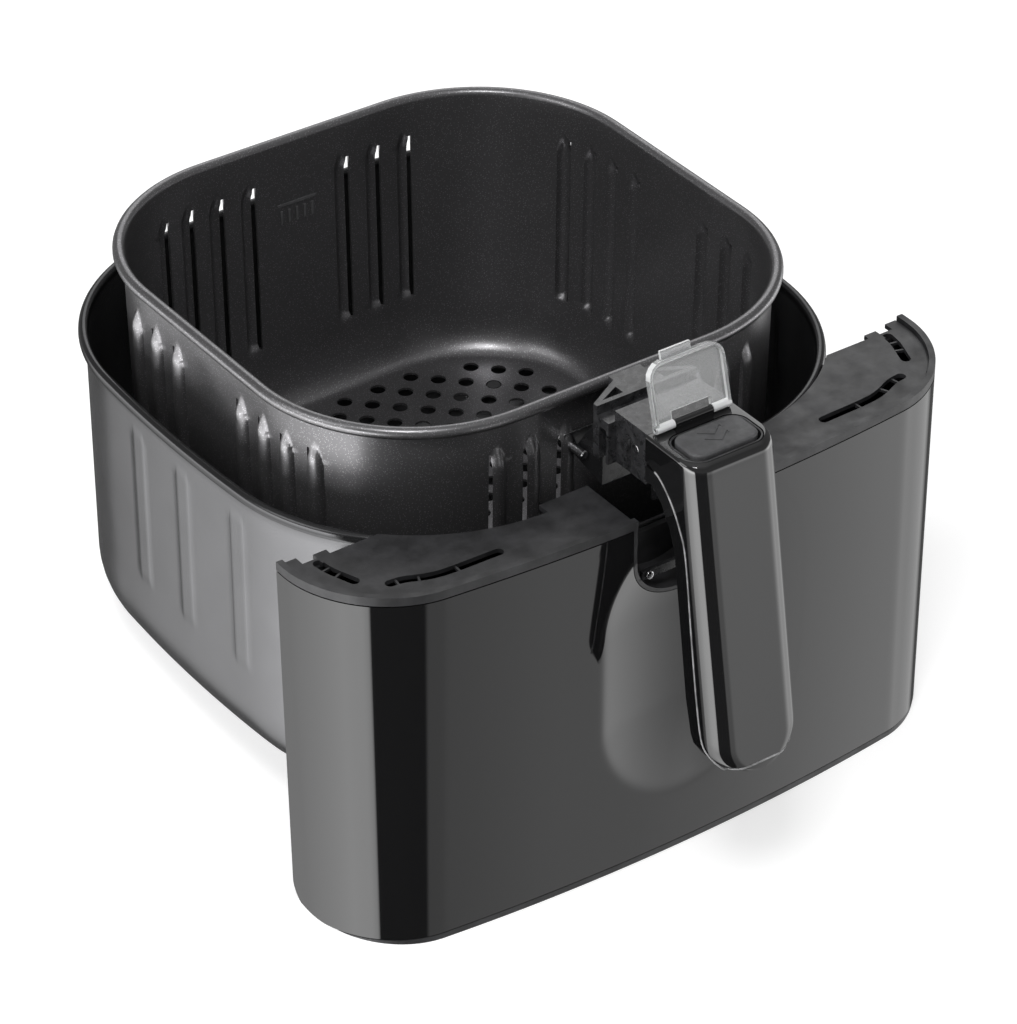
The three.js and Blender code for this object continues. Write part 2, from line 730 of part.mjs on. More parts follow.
// The parting line between the grip's two shells, moved square to itself.
// A positive distance moves it backwards and down.
function partingAt(distance) {
  const points = grip.parting.map(([y, z]) => new THREE.Vector2(y, z));
  return points.map((point, i) => {
    const [before, after] = [points[Math.max(i - 1, 0)], points[Math.min(i + 1, points.length - 1)]];
    const along = after.clone().sub(before).normalize();
    return [point.x - along.y * distance, point.y + along.x * distance];
  });
}

// The grip's full section: round front edges that lean with the face, and round lower corners.
function gripBody(inset) {
  const { half, midY, midZ, slope, frontRound, low, top, lowRound, turnSteps } = grip;
  const side = half - inset;
  const section = [
    new THREE.Vector2(side, midY + 3 * beyond),
    new THREE.Vector2(-side, midY + 3 * beyond),
    ...arc([frontRound - half, midY + frontRound], frontRound - inset, [180, 270], turnSteps),
    ...arc([half - frontRound, midY + frontRound], frontRound - inset, [270, 360], turnSteps),
  ];
  const shear = new THREE.Matrix4().set(1, 0, 0, 0, 0, 1, slope, -slope * midZ, 0, 0, 1, 0, 0, 0, 0, 1);
  const leaning = extruded(section, top - low);
  leaning.translate(0, 0, low).applyMatrix4(shear);
  const view = [
    new THREE.Vector2(side, top + through),
    new THREE.Vector2(-side, top + through),
    ...arc([lowRound - half, low + lowRound], lowRound - inset, [180, 270], turnSteps),
    ...arc([half - lowRound, low + lowRound], lowRound - inset, [270, 360], turnSteps),
  ];
  const standing = extruded(view, 3 * beyond);
  standing.rotateX(Math.PI / 2).translate(0, midY + 2.5 * beyond, 0);
  return toSolid(leaning).intersect(toSolid(standing));
}

const buttonMidY = (button.frontY + button.backY) / 2;
const buttonTop = grip.top + button.proud;
const wellReach = button.gap + bezel.wall;

// The button's plan outline, grown on every side.
function buttonOutline(grow) {
  const { half, frontY, backY, corner } = button;
  return roundRectangle([-half - grow, half + grow], [frontY - grow, backY + grow], corner + grow);
}

function gripScrewPlace(z) {
  const points = partingAt(grip.depth);
  const i = points.findIndex(([, height]) => height < z);
  const [[y0, z0], [y1, z1]] = [points[i - 1], points[i]];
  return { z, y: THREE.MathUtils.mapLinear(z, z0, z1, y0, y1) };
}

const gripScrewPlaces = grip.screwHeights.map((z, i) => ({ level: levels[i], ...gripScrewPlace(z) }));

const hingeZ = grip.top + hinge.rise;

// A round bar on the guard's hinge line.
const hingeRod = (radius, reach) => rod(radius, [-reach, hinge.y, hingeZ], [reach, hinge.y, hingeZ], 12);

// The glossy front shell, open behind, with the button's well on top and the guard's hinge barrel.
function coverSolid() {
  const { half, wall, top, backY, topRound, bossRadius } = grip;
  const roundY = faceY(top - topRound) + topRound;
  const crown = arc([roundY, top - topRound], topRound, [90, 180], 4).map(({ x, y }) => [x, y]);
  const frontLimit = grip.midY - beyond;
  const region = [
    [backY, top],
    ...crown,
    [frontLimit, top - topRound],
    [frontLimit, grip.parting.at(-1)[1]],
    ...grip.parting.slice(1, -1).reverse(),
    [backY, grip.parting[0][1]],
  ];
  const shell = gripBody(0).intersect(sidePrism(region, [-half, half]));
  const floor = grip.parting.at(-1)[1] + wall;
  const hollow = gripBody(wall).intersect(block([-half, half], [frontLimit, 0], [floor, top - wall]));
  const bosses = gripScrewPlaces.map(({ y, z }) => {
    return rod(bossRadius, [0, faceY(z) + wall / 2, z], [0, y - 2 * wall - fit, z]);
  });
  const bores = gripScrewPlaces.map(({ y, z }) => {
    return rod(screw.radius + fit, [0, faceY(z) + 2 * wall, z], [0, y, z]);
  });
  const well = prism(buttonOutline(wellReach + fit), [top - 2 * wall, top + through]);
  const besideHinge = [hinge.y - hinge.radius, hinge.y + hinge.radius - fit];
  const stand = block([-hinge.half, hinge.half], besideHinge, [top - wall / 2, hingeZ]);
  const body = joined([without(shell, [hollow, well]), ...bosses, hingeRod(hinge.radius, hinge.half), stand]);
  return without(body, [...bores, hingeRod(hinge.pin + fit / 2, half)]);
}

// The back shell: a tray behind the parting line, its open side against the front shell.
function backShellSolid() {
  const { half, wall, depth, backY } = grip;
  const ribbon = (from, to, reach) => {
    const outline = [...partingAt(from), ...partingAt(to).reverse()];
    return sidePrism(outline, [-reach, reach]);
  };
  const outer = gripBody(0).intersect(ribbon(fit, depth, half));
  const inner = gripBody(wall).intersect(ribbon(-wall, depth - wall, half));
  const clearOfNeck = block([-half, half], [backY - fit, 0], [grip.low, grip.top]);
  const seat = screw.headHeight + 2 * fit;
  const atScrews = (radius, from, to) =>
    gripScrewPlaces.map(({ y, z }) => rod(radius, [0, y + from, z], [0, y + to, z]));
  const heads = atScrews(screw.head + fit, depth, -seat);
  const bores = atScrews(screw.radius + fit, depth, -depth);
  const pads = atScrews(screw.head + wall, -fit, -2 * wall);
  return without(joined([outer.subtract(inner), ...pads]), [clearOfNeck, ...heads, ...bores]);
}

// A round bar on the button's stem.
const stemRod = (radius, [z0, z1]) => rod(radius, [0, buttonMidY, z0], [0, buttonMidY, z1], 14);

function bezelSolid() {
  const { floorTop, floor, sunk } = bezel;
  const outer = prism(buttonOutline(wellReach), [floorTop - floor, grip.top - sunk]);
  const room = prism(buttonOutline(button.gap), [floorTop, grip.top + through]);
  const gap = stemRod(button.stem + button.stemGap, [floorTop - 2 * floor, floorTop + through]);
  return without(outer, [room, gap]);
}

const latchTop = latch.pivotZ + latch.plate / 2;

function buttonSolid() {
  const cap = prism(buttonOutline(0), [buttonTop - button.thick, buttonTop]);
  return cap.add(stemRod(button.stem, [latchTop + fit, buttonTop - button.thick / 2]));
}

class Helix extends THREE.Curve {
  constructor(radius, [low, high], turns) {
    super();
    Object.assign(this, { radius, low, high, turns });
  }
  getPoint(share, target = new THREE.Vector3()) {
    const angle = 2 * Math.PI * this.turns * share;
    const height = THREE.MathUtils.lerp(this.low, this.high, share);
    return target.set(this.radius * Math.cos(angle), this.radius * Math.sin(angle), height);
  }
}

const springSeat = bezel.floorTop + fit + spring.wire;
const springTop = buttonTop - button.thick - fit - spring.wire;

function springSolid() {
  const path = new Helix(spring.radius, [springSeat, springTop], spring.turns);
  const section = new THREE.Shape(arc([0, 0], spring.wire, [0, 288], 4));
  const steps = spring.turns * spring.turnSteps;
  const coil = new THREE.ExtrudeGeometry(section, { steps, bevelEnabled: false, extrudePath: path });
  return toSolid(coil.translate(0, buttonMidY, 0));
}

// A bell-crank plate: a hub on its pin, an arm under the button, and a blade that ends in a toe.
function latchSolid() {
  const { pivotY, pivotZ, half, armHalf, plate, hub, pin, toeLow, toeTop, toeTip } = latch;
  const bladeY = pivotY + hub - plate;
  const arm = block([-armHalf, armHalf], [buttonMidY - button.stem, pivotY], [pivotZ - plate / 2, latchTop]);
  const blade = block([-half, half], [bladeY, bladeY + plate], [toeLow, pivotZ]);
  const toe = [
    [bladeY + plate / 2, toeLow],
    [bladeY, toeLow],
    [toeTip, toeTop - plate],
    [toeTip, toeTop],
    [bladeY + plate / 2, toeTop],
  ];
  const body = joined([pinRod(hub, half), arm, blade, sidePrism(toe, [-half, half])]);
  return body.subtract(pinRod(pin + fit, half + through));
}

// The clear guard, drawn closed with its hinge on the X axis.
// It is a plate with a skirt round three sides and two knuckles.
function guardSolid() {
  const { half, length, thick, over, corner, skirt } = guard;
  const [low, high] = [over, over + thick];
  const outline = (inset) => {
    return roundRectangle([inset - half, half - inset], [inset - length, corner], corner - inset);
  };
  const behind = block([-half, half], [0, beyond], [-beyond, beyond]);
  const plate = prism(outline(0), [low, high]);
  const rim = prism(outline(0), [-hinge.rise + 2 * fit, low + thick / 2]).subtract(
    prism(outline(skirt), [-beyond, beyond]),
  );
  const tab = block([guardTab.left, guardTab.right], [-length - guardTab.reach, thick - length], [low, high]);
  const barrelHalf = hinge.half + fit;
  const knuckles = bothSides((side) => rod(hinge.radius, [side * barrelHalf, 0, 0], [side * half, 0, 0]));
  const roomForBarrel = block([-barrelHalf, barrelHalf], [-hinge.recess, beyond], [-beyond, beyond]);
  const bore = rod(hinge.pin + fit / 2, [-half - through, 0, 0], [half + through, 0, 0], 12);
  const body = joined([joined([plate, rim, tab]).subtract(behind), ...knuckles]);
  return without(body, [roomForBarrel, bore]);
}

// ---------------------------------------------------------------- assembly

const finishes = {
  coated: { color: 0x2c2c2e, roughness: 0.42, metalness: 0.35 },
  enamel: { color: 0x3a3a3c, roughness: 0.35, metalness: 0.3 },
  gloss: { color: 0x0d0d0f, roughness: 0.08, metalness: 0 },
  matte: { color: 0x1c1c1e, roughness: 0.6, metalness: 0 },
  button: { color: 0x2b2b2d, roughness: 0.55, metalness: 0 },
  steel: { color: 0xc9c9c9, roughness: 0.3, metalness: 1 },
  silicone: { color: 0x202020, roughness: 0.8, metalness: 0 },
  clear: { color: 0xdfe3e4, roughness: 0.05, metalness: 0, transparent: true, opacity: 0.35 },
};

function piece(name, solid, finish) {
  const mesh = new THREE.Mesh(toGeometry(solid), new THREE.MeshStandardMaterial(finish));
  mesh.name = name;
  return mesh;
}

const sideName = (side) => (side < 0 ? "left" : "right");

const drawer = new THREE.Group();
drawer.add(
  piece("pan", panSolid(), finishes.enamel),
  piece("front_panel", panelSolid(), finishes.gloss),
  piece("front_ledge", ledgeSolid(), finishes.matte),
  piece("bottom_trim", trimSolid(), finishes.matte),
  piece("front_frame", frameSolid(), finishes.matte),
  piece("catch_bar", catchSolid(), finishes.steel),
);
const panScrewHeadY = -pan.halfY + pan.lip + pan.wall + fit + panScrew.stand + screw.headHeight;
for (const { side, level, x, z } of panScrewPlaces) {
  const solid = fastener(screw, [x, z], panScrewHeadY, -pan.halfY - through);
  drawer.add(piece(`pan_screw_${level}_${sideName(side)}`, solid, finishes.steel));
}
const catchScrewHeadY = catchSeatY - catchBar.depth - fit - smallScrew.headHeight;
for (const side of [-1, 1]) {
  const place = [side * catchScrewX, catchMidZ];
  const solid = fastener(smallScrew, place, catchScrewHeadY, catchSeatY + catchBar.screwDepth);
  drawer.add(piece(`catch_screw_${sideName(side)}`, solid, finishes.steel));
}

const lifted = new THREE.Group();
lifted.position.z = basket.lift;
drawer.add(lifted);
lifted.add(
  piece("basket", basketSolid(), finishes.coated),
  piece("handle_bracket", bracketSolid(), finishes.steel),
  piece("handle_arm", armSolid(), finishes.gloss),
  piece("handle_cover", coverSolid(), finishes.gloss),
  piece("handle_back", backShellSolid(), finishes.gloss),
  piece("button_bezel", bezelSolid(), finishes.matte),
  piece("button", buttonSolid(), finishes.button),
  piece("button_spring", springSolid(), finishes.steel),
  piece("latch", latchSolid(), finishes.steel),
);
const rivetHeadY = basketFrontY + 2 * basket.wall + rivet.headHeight;
const neckScrewHeadY = bracketFrontY + bracket.sheet + fit + screw.headHeight;
const neckScrewTip = neck.flangeFront + neck.wall;
for (const side of [-1, 1]) {
  const rivetTip = bracketBackY - bracket.sheet - bracket.rivetLength;
  const bracketRivet = fastener(rivet, [side * bracket.rivetX, bracket.rivetZ], rivetHeadY, rivetTip);
  const neckScrew = fastener(screw, [side * neck.screwX, armScrewZ], neckScrewHeadY, neckScrewTip);
  lifted.add(
    piece(`bracket_rivet_${sideName(side)}`, bracketRivet, finishes.steel),
    piece(`neck_screw_${sideName(side)}`, neckScrew, finishes.steel),
  );
}
for (const { level, y, z } of gripScrewPlaces) {
  const solid = fastener(screw, [0, z], y - fit, faceY(z) + 3 * grip.wall);
  lifted.add(piece(`grip_screw_${level}`, solid, finishes.steel));
}
const footRows = [["front", foot.frontRow], ["back", foot.backRow]];
for (const side of [-1, 1])
  for (const [place, row] of footRows) {
    const mesh = piece(`foot_${place}_${sideName(side)}`, footSolid(), finishes.silicone);
    mesh.position.set(...ventPlace(side * foot.column, row), 0);
    lifted.add(mesh);
  }
lifted.add(
  piece("latch_pin", pinRod(latch.pin, neck.half), finishes.steel),
  piece("guard_pin", hingeRod(hinge.pin, guard.half), finishes.steel),
);

const openGuard = piece("button_guard", guardSolid(), finishes.clear);
openGuard.position.set(0, hinge.y, hingeZ);
openGuard.rotation.x = -THREE.MathUtils.degToRad(guard.openDegrees);
lifted.add(openGuard);

export default drawer;
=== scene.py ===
"""Looks for an air fryer drawer, built round its packed model.

The pan, the basket, the glossy front and the grip are surfaces worked out with numpy. The small fitted
parts start from the packed solids and get rounded edges. Sizes are in metres, in the packed model's frame.
"""

import json
import math

import bmesh
import bpy
import numpy as np
from bpy.props import FloatProperty, FloatVectorProperty, IntProperty, PointerProperty
from mathutils import Matrix, Vector
from mathutils.geometry import delaunay_2d_cdt

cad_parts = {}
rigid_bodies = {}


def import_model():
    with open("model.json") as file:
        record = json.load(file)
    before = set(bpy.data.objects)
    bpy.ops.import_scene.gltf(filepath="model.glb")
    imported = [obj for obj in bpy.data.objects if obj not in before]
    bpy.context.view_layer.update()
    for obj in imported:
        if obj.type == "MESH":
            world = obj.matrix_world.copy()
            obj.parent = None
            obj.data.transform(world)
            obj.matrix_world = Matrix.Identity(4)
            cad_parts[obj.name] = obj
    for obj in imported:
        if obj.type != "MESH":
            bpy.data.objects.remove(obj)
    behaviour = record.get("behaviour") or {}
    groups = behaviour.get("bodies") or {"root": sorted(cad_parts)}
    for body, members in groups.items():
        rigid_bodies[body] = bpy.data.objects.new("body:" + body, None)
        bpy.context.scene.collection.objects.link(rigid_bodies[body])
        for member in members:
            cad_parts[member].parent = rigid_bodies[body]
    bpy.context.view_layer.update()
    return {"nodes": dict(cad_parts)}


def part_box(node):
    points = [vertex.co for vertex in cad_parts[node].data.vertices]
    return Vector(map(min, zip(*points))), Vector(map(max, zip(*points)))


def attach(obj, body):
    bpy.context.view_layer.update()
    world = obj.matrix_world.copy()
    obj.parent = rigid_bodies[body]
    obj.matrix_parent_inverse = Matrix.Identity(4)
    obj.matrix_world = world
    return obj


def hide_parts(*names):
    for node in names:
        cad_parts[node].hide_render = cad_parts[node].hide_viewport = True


bl_info = {
    "name": "Air Fryer Drawer",
    "version": (1, 0, 0),
    "blender": (4, 5, 0),
    "location": "3D View > Sidebar > Fryer",
    "description": "Builds an air fryer's pan, lift-out basket, front and handle round a packed model",
    "category": "Add Mesh",
}

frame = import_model()

MM = 0.001
BOX = {name: tuple(np.array(corner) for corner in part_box(name)) for name in frame["nodes"]}
PAN_HIGH = BOX["pan"][1]
RIM_FRONT = -PAN_HIGH[1]  # the pan's rim is the same in front as behind, but for its gap
BASKET_LOW, BASKET_HIGH = BOX["basket"]
PANEL_LOW, PANEL_HIGH = BOX["front_panel"]
COVER_HIGH = BOX["handle_cover"][1]
BUTTON_LOW, BUTTON_HIGH = BOX["button"]
TRIM_LOW, TRIM_HIGH = BOX["bottom_trim"]
SEAT = 8.4 * MM  # the height of the basket's lowest sheet when it stands in the pan
LIFT = BASKET_LOW[2] - SEAT  # how far the basket stands above that
FAR = 0.2  # beyond the object on any side, for cutters
LEDGE_SPAN = 0.12, 0.14  # heights under and over the ledge, for cutters

# ---------------------------------------------------------------- sizes and colours a user may change


def length(name, millimetres, about):
    """A length property, given in millimetres."""
    return FloatProperty(name=name, description=about, default=millimetres * MM, unit="LENGTH", precision=5)


def amount(name, value, about, top=1.0):
    """A plain number from nought to its top."""
    return FloatProperty(name=name, description=about, default=value, min=0, max=top)


def colour(name, value, about):
    """A linear colour."""
    limits = {"min": 0, "max": 1}
    return FloatVectorProperty(name=name, description=about, default=value, subtype="COLOR", size=3, **limits)


class FRYER_PG_studio(bpy.types.PropertyGroup):
    """The camera, floor and lamps."""

    lens: FloatProperty(name="Lens", description="Focal length", default=152.96, min=1)
    key: FloatProperty(name="Key", description="Power of the lamp overhead, in watts", default=17.0)
    side: FloatProperty(name="Side", description="Power of the lamp on the left, in watts", default=9.0)
    rear: FloatProperty(name="Rear", description="Power of the lamp behind, in watts", default=7.0)
    ambient: amount("Ambient", 0.42, "Light from all round", 4)
    floor: colour("Floor", (0.62, 0.62, 0.62), "Colour of the floor")
    floor_glow: amount("Floor glow", 0.62, "How far the floor is lifted to white where it is seen")


class FRYER_PG_pan(bpy.types.PropertyGroup):
    """The outer pan."""

    corner: length("Corner", 83, "Plan radius of the rim's corners")
    bow: length("Bow", 1.5, "How far a side swells between its corners")
    lip: length("Lip", 2.7, "How far the rim stands out from the wall")
    lip_depth: length("Lip depth", 4.6, "How far the rim reaches down")
    wall: length("Wall", 1.2, "Thickness of the sheet")
    floor_radius: length("Floor radius", 28, "Radius between the wall and the floor")
    gate_half: length("Gap", 23.5, "Half width of the gap for the basket's neck")
    gate_depth: length("Gap depth", 21.2, "Depth of that gap under the rim")
    rib_half: length("Rib width", 4.3, "Half width of a pressed rib")
    rib_depth: length("Rib depth", 0.16, "How far a rib is pressed outwards")
    rib_low: length("Rib foot", 45, "Height of the ribs' lower ends")
    rib_high: length("Rib top", 114, "Height of the ribs' upper ends")


class FRYER_PG_basket(bpy.types.PropertyGroup):
    """The lift-out basket."""

    corner: length("Corner", 68.2, "Plan radius of the rim's corners")
    curl: length("Curl", 2.4, "Radius of the curled rim")
    wall: length("Wall", 1.0, "Thickness of the sheet")
    draft: length("Draft", 1.5, "How far each wall leans in")
    cove: length("Cove", 11, "How far the rounding between wall and floor reaches in")
    cove_rise: length("Cove rise", 23, "How far that rounding reaches up the wall")
    louvre_width: length("Louvre", 7.3, "Width of a louvre with its slit")
    louvre_depth: length("Louvre depth", 2.5, "How far a louvre stands out of the wall")
    slit: length("Slit", 1.2, "Width of the slit beside a louvre")
    louvre_low: length("Louvre foot", 35, "Height of the louvres' lower ends, the basket seated")
    louvre_high: length("Louvre top", 114, "Height of the louvres' upper ends, the basket seated")
    hole: length("Hole", 3.2, "Radius of a floor hole")
    pitch: length("Pitch", 16.2, "Distance between floor holes along a row")
    hole_sides: IntProperty(name="Hole sides", description="Facets round a floor hole", default=20, min=6)


class FRYER_PG_front(bpy.types.PropertyGroup):
    """The glossy front and its mouldings."""

    corner_top: length("Corner at top", 38.9, "Plan radius of the corners, at the top")
    corner_low: length("Corner at foot", 34.4, "Plan radius of the corners, at the bottom")
    half_low: length("Half width at foot", 138.7, "Half width at the bottom")
    line: length("Line", -140.3, "Place of the curve's line at its corners")
    bow: length("Bow", 10.2, "How far the middle swells forward")
    wall: length("Wall", 2.5, "Thickness of the panel")
    edge: length("Edge", 0.5, "Radius of the panel's edges")
    heel: length("Heel", 10, "Radius of the lower rear corners, seen from the side")
    scoop_half: length("Scoop", 40, "Half width of the finger recess")
    scoop_depth: length("Scoop depth", 5, "Depth of the finger recess")
    scoop_low: length("Scoop foot", 4, "Height of the recess's lower end")
    scoop_high: length("Scoop top", 124, "Height of the recess's upper end")
    scoop_blend: length("Scoop blend", 0.45, "How softly the recess meets the panel")
    notch_half: length("Notch", 25, "Half width of the notch for the neck")
    notch_centre: length("Notch centre", 115.5, "Height of the notch's round centre")


class FRYER_PG_grip(bpy.types.PropertyGroup):
    """The grip, the button and the guard."""

    slope: amount("Slope", 0.17, "How far the face leans out for each unit down")
    face: length("Face", -187.7, "Place of the front face at its middle")
    face_height: length("Face height", 61, "Height of that middle, the basket seated")
    front_round: length("Front round", 8.5, "Radius of the upright front edges")
    top_round: length("Top round", 4, "Radius of the front's top edge")
    side_round: length("Side round", 1.3, "Radius of the top's side edges")
    low_round: length("Low round", 12.5, "Radius of the lower corners")
    back: length("Back", -148.2, "Place of the grip's back at its top")
    button_corner: length("Button corner", 4.5, "Plan radius of the button's corners")
    button_round: length("Button round", 0.9, "Radius of the button's top edge")
    well: length("Well", 2.3, "Gap from the button to the edge of its well")
    seam: length("Seam", 0.35, "Radius of the pale line between the shells")
    mark: length("Mark", 10, "Width of the chevrons on the button")


class FRYER_PG_finish(bpy.types.PropertyGroup):
    """Colours of the finishes."""

    pan: colour("Pan", (0.165, 0.165, 0.17), "Enamel on the pan")
    basket: colour("Basket", (0.16, 0.158, 0.163), "Coating on the basket")
    gloss: colour("Gloss", (0.0085, 0.0085, 0.009), "Polished black plastic")
    matte: colour("Matte", (0.021, 0.021, 0.0225), "Satin black plastic")
    button: colour("Button", (0.075, 0.075, 0.078), "Button's grey plastic")
    steel: colour("Steel", (0.62, 0.62, 0.63), "Pressed steel")
    silicone: colour("Silicone", (0.02, 0.02, 0.021), "Silicone feet")


# ---------------------------------------------------------------- finishes


class Tree:
    """A short way to put nodes in a material."""

    def __init__(self, name):
        """Starts a material, with its shader and the piece's own coordinates at hand."""
        self.material = bpy.data.materials.new(name)
        self.material.use_nodes = True
        self.nodes = self.material.node_tree.nodes
        self.links = self.material.node_tree.links
        self.shader = self.nodes["Principled BSDF"]
        self.place = self.nodes.new("ShaderNodeTexCoord").outputs["Object"]

    def set(self, **values):
        """Writes constant values on the shader's own sockets, named with underscores for spaces."""
        for key, value in values.items():
            socket = self.shader.inputs[key.replace("_", " ")]
            socket.default_value = (*value, 1) if socket.type == "RGBA" else value
        return self

    def noise(self, scale, detail=2.0, roughness=0.5, stretch=None):
        """A noise pattern in the piece's own space. Scale is features per metre."""
        node = self.nodes.new("ShaderNodeTexNoise")
        node.inputs["Scale"].default_value = scale
        node.inputs["Detail"].default_value = detail
        node.inputs["Roughness"].default_value = roughness
        place = self.place
        if stretch:
            mapping = self.nodes.new("ShaderNodeMapping")
            mapping.inputs["Scale"].default_value = stretch
            self.links.new(self.place, mapping.inputs["Vector"])
            place = mapping.outputs["Vector"]
        self.links.new(place, node.inputs["Vector"])
        return node.outputs["Fac"]

    def flecks(self, scale):
        """Distance to the nearest of many scattered points, for flakes in a coating."""
        node = self.nodes.new("ShaderNodeTexVoronoi")
        node.inputs["Scale"].default_value = scale
        self.links.new(self.place, node.inputs["Vector"])
        return node.outputs["Distance"]

    def ramp(self, source, low, high, out_low, out_high):
        """Maps a range of a pattern to another range, held at its ends."""
        node = self.nodes.new("ShaderNodeMapRange")
        for key, value in zip(("From Min", "From Max", "To Min", "To Max"), (low, high, out_low, out_high)):
            node.inputs[key].default_value = value
        self.links.new(source, node.inputs["Value"])
        return node.outputs["Result"]

    def tint(self, source, dark, light):
        """Gives the shader a colour that runs from dark to light with a pattern."""
        node = self.nodes.new("ShaderNodeMix")
        node.data_type = "RGBA"
        node.inputs["A"].default_value = (*dark, 1)
        node.inputs["B"].default_value = (*light, 1)
        self.links.new(source, node.inputs["Factor"])
        self.links.new(node.outputs["Result"], self.shader.inputs["Base Color"])

    def darken(self, low, high, factor):
        """Multiplies the base colour by a factor above a height, blending in from a lower one."""
        split = self.nodes.new("ShaderNodeSeparateXYZ")
        self.links.new(self.place, split.inputs[0])
        node = self.nodes.new("ShaderNodeMix")
        node.data_type, node.blend_type = "RGBA", "MULTIPLY"
        node.inputs["B"].default_value = (factor, factor, factor, 1)
        self.links.new(self.ramp(split.outputs["Z"], low, high, 0, 1), node.inputs["Factor"])
        self.links.new(self.shader.inputs["Base Color"].links[0].from_socket, node.inputs["A"])
        self.links.new(node.outputs["Result"], self.shader.inputs["Base Color"])

    def drive(self, socket, source):
        """Links a pattern to one of the shader's sockets."""
        self.links.new(source, self.shader.inputs[socket])

    def bump(self, *layers):
        """Adds bumps, each a pattern with its strength and depth in metres."""
        normal = None
        for source, strength, depth in layers:
            node = self.nodes.new("ShaderNodeBump")
            node.inputs["Strength"].default_value = strength
            node.inputs["Distance"].default_value = depth
            self.links.new(source, node.inputs["Height"])
            if normal:
                self.links.new(normal, node.inputs["Normal"])
            normal = node.outputs["Normal"]
        self.links.new(normal, self.shader.inputs["Normal"])


def shade(colour_value, factor):
    """A colour made darker or lighter by a factor."""
    return tuple(min(1.0, channel * factor) for channel in colour_value)


def pan_finish(colours):
    """Satin enamel: an even grey sheen, faint clouding, a very fine orange peel and a dark rim."""
    tree = Tree("pan_enamel").set(Metallic=0.82, IOR=1.5)
    clouds = tree.ramp(tree.noise(38, 3), 0.3, 0.7, 0, 1)
    tree.tint(clouds, shade(colours.pan, 0.94), shade(colours.pan, 1.06))
    # Painted shade: the base colour drops to 0.3 over the rim's top, standing in for the dark reflection the
    # rim shows.
    tree.darken(PAN_HIGH[2] - 4.2 * MM, PAN_HIGH[2] - 2.6 * MM, 0.3)
    tree.drive("Roughness", tree.ramp(tree.noise(60, 4), 0.3, 0.7, 0.21, 0.25))
    tree.bump((tree.noise(900, 2), 0.06, 0.0001), (tree.noise(4200, 1), 0.06, 0.00004))
    return tree.material


def basket_finish(colours):
    """Charcoal coating with fine bright flakes, cloudy in places."""
    tree = Tree("basket_coating").set(Metallic=0.8, IOR=1.5)
    flakes = tree.ramp(tree.flecks(1300), 0.1, 0.3, 0, 1)
    tree.tint(flakes, shade(colours.basket, 2.6), colours.basket)
    tree.drive("Roughness", tree.ramp(tree.noise(70, 5, 0.6), 0.3, 0.7, 0.28, 0.37))
    tree.bump((tree.flecks(2600), 0.2, 0.00003), (tree.noise(3600, 2), 0.25, 0.00004))
    return tree.material


def gloss_finish(colours):
    """Polished black plastic: a faint flow in the surface and hardly any haze."""
    tree = Tree("gloss_black").set(IOR=1.7, Base_Color=colours.gloss)
    tree.drive("Roughness", tree.ramp(tree.noise(45, 3), 0.35, 0.7, 0.015, 0.04))
    tree.bump((tree.noise(14, 1), 0.03, 0.0005))
    return tree.material


def neck_finish(colours):
    """Black moulding with scuffs, cloudier than the polished shells."""
    tree = Tree("neck_black").set(IOR=1.55)
    scuffs = tree.ramp(tree.noise(330, 5, 0.7), 0.4, 0.75, 0, 1)
    tree.tint(scuffs, shade(colours.matte, 0.6), shade(colours.matte, 2.6))
    tree.drive("Roughness", tree.ramp(tree.noise(420, 5, 0.7), 0.35, 0.7, 0.2, 0.45))
    tree.bump((tree.noise(500, 4, 0.6), 0.12, 0.0002))
    return tree.material


def matte_finish(colours):
    """Satin black plastic, mottled where it has been handled and cleaned."""
    tree = Tree("matte_black").set(IOR=1.5)
    mottling = tree.ramp(tree.noise(85, 5, 0.62), 0.38, 0.66, 0, 1)
    tree.tint(mottling, shade(colours.matte, 0.75), shade(colours.matte, 1.75))
    tree.drive("Roughness", tree.ramp(tree.noise(120, 4), 0.3, 0.7, 0.36, 0.55))
    tree.bump((tree.noise(160, 5, 0.6), 0.22, 0.0003), (tree.noise(2400, 2), 0.2, 0.00008))
    return tree.material


def button_finish(colours):
    """Soft grey plastic with a fine spark-eroded grain."""
    tree = Tree("button_grey").set(IOR=1.48)
    grain = tree.ramp(tree.noise(300, 4), 0.35, 0.65, 0, 1)
    tree.tint(grain, shade(colours.button, 0.85), shade(colours.button, 1.15))
    tree.drive("Roughness", tree.ramp(tree.noise(900, 3), 0.3, 0.7, 0.48, 0.62))
    tree.bump((tree.noise(5200, 2), 0.35, 0.00006))
    return tree.material


def seam_finish(colours):
    """The pale trimmed edge of a moulding, slightly scuffed."""
    tree = Tree("seam_highlight_grey").set(IOR=1.5)
    scuffs = tree.ramp(tree.noise(260, 4), 0.35, 0.65, 0, 1)
    # Painted highlight: this pale grey partly stands in for the bright line of light along the parting edge.
    tree.tint(scuffs, shade(colours.steel, 0.3), shade(colours.steel, 0.75))
    tree.drive("Roughness", tree.ramp(tree.noise(600, 2), 0.3, 0.7, 0.3, 0.45))
    tree.bump((tree.noise(900, 2), 0.1, 0.00005))
    return tree.material


def steel_finish(colours):
    """Pressed steel, softly brushed, with the fine haze of tumbled parts."""
    tree = Tree("pressed_steel").set(Metallic=1, IOR=2.5)
    lines = tree.noise(500, 3, 0.6)
    tree.tint(tree.ramp(lines, 0.3, 0.7, 0, 1), shade(colours.steel, 0.9), shade(colours.steel, 1.08))
    tree.drive("Roughness", tree.ramp(lines, 0.3, 0.7, 0.18, 0.28))
    tree.bump((lines, 0.06, 0.00004))
    return tree.material


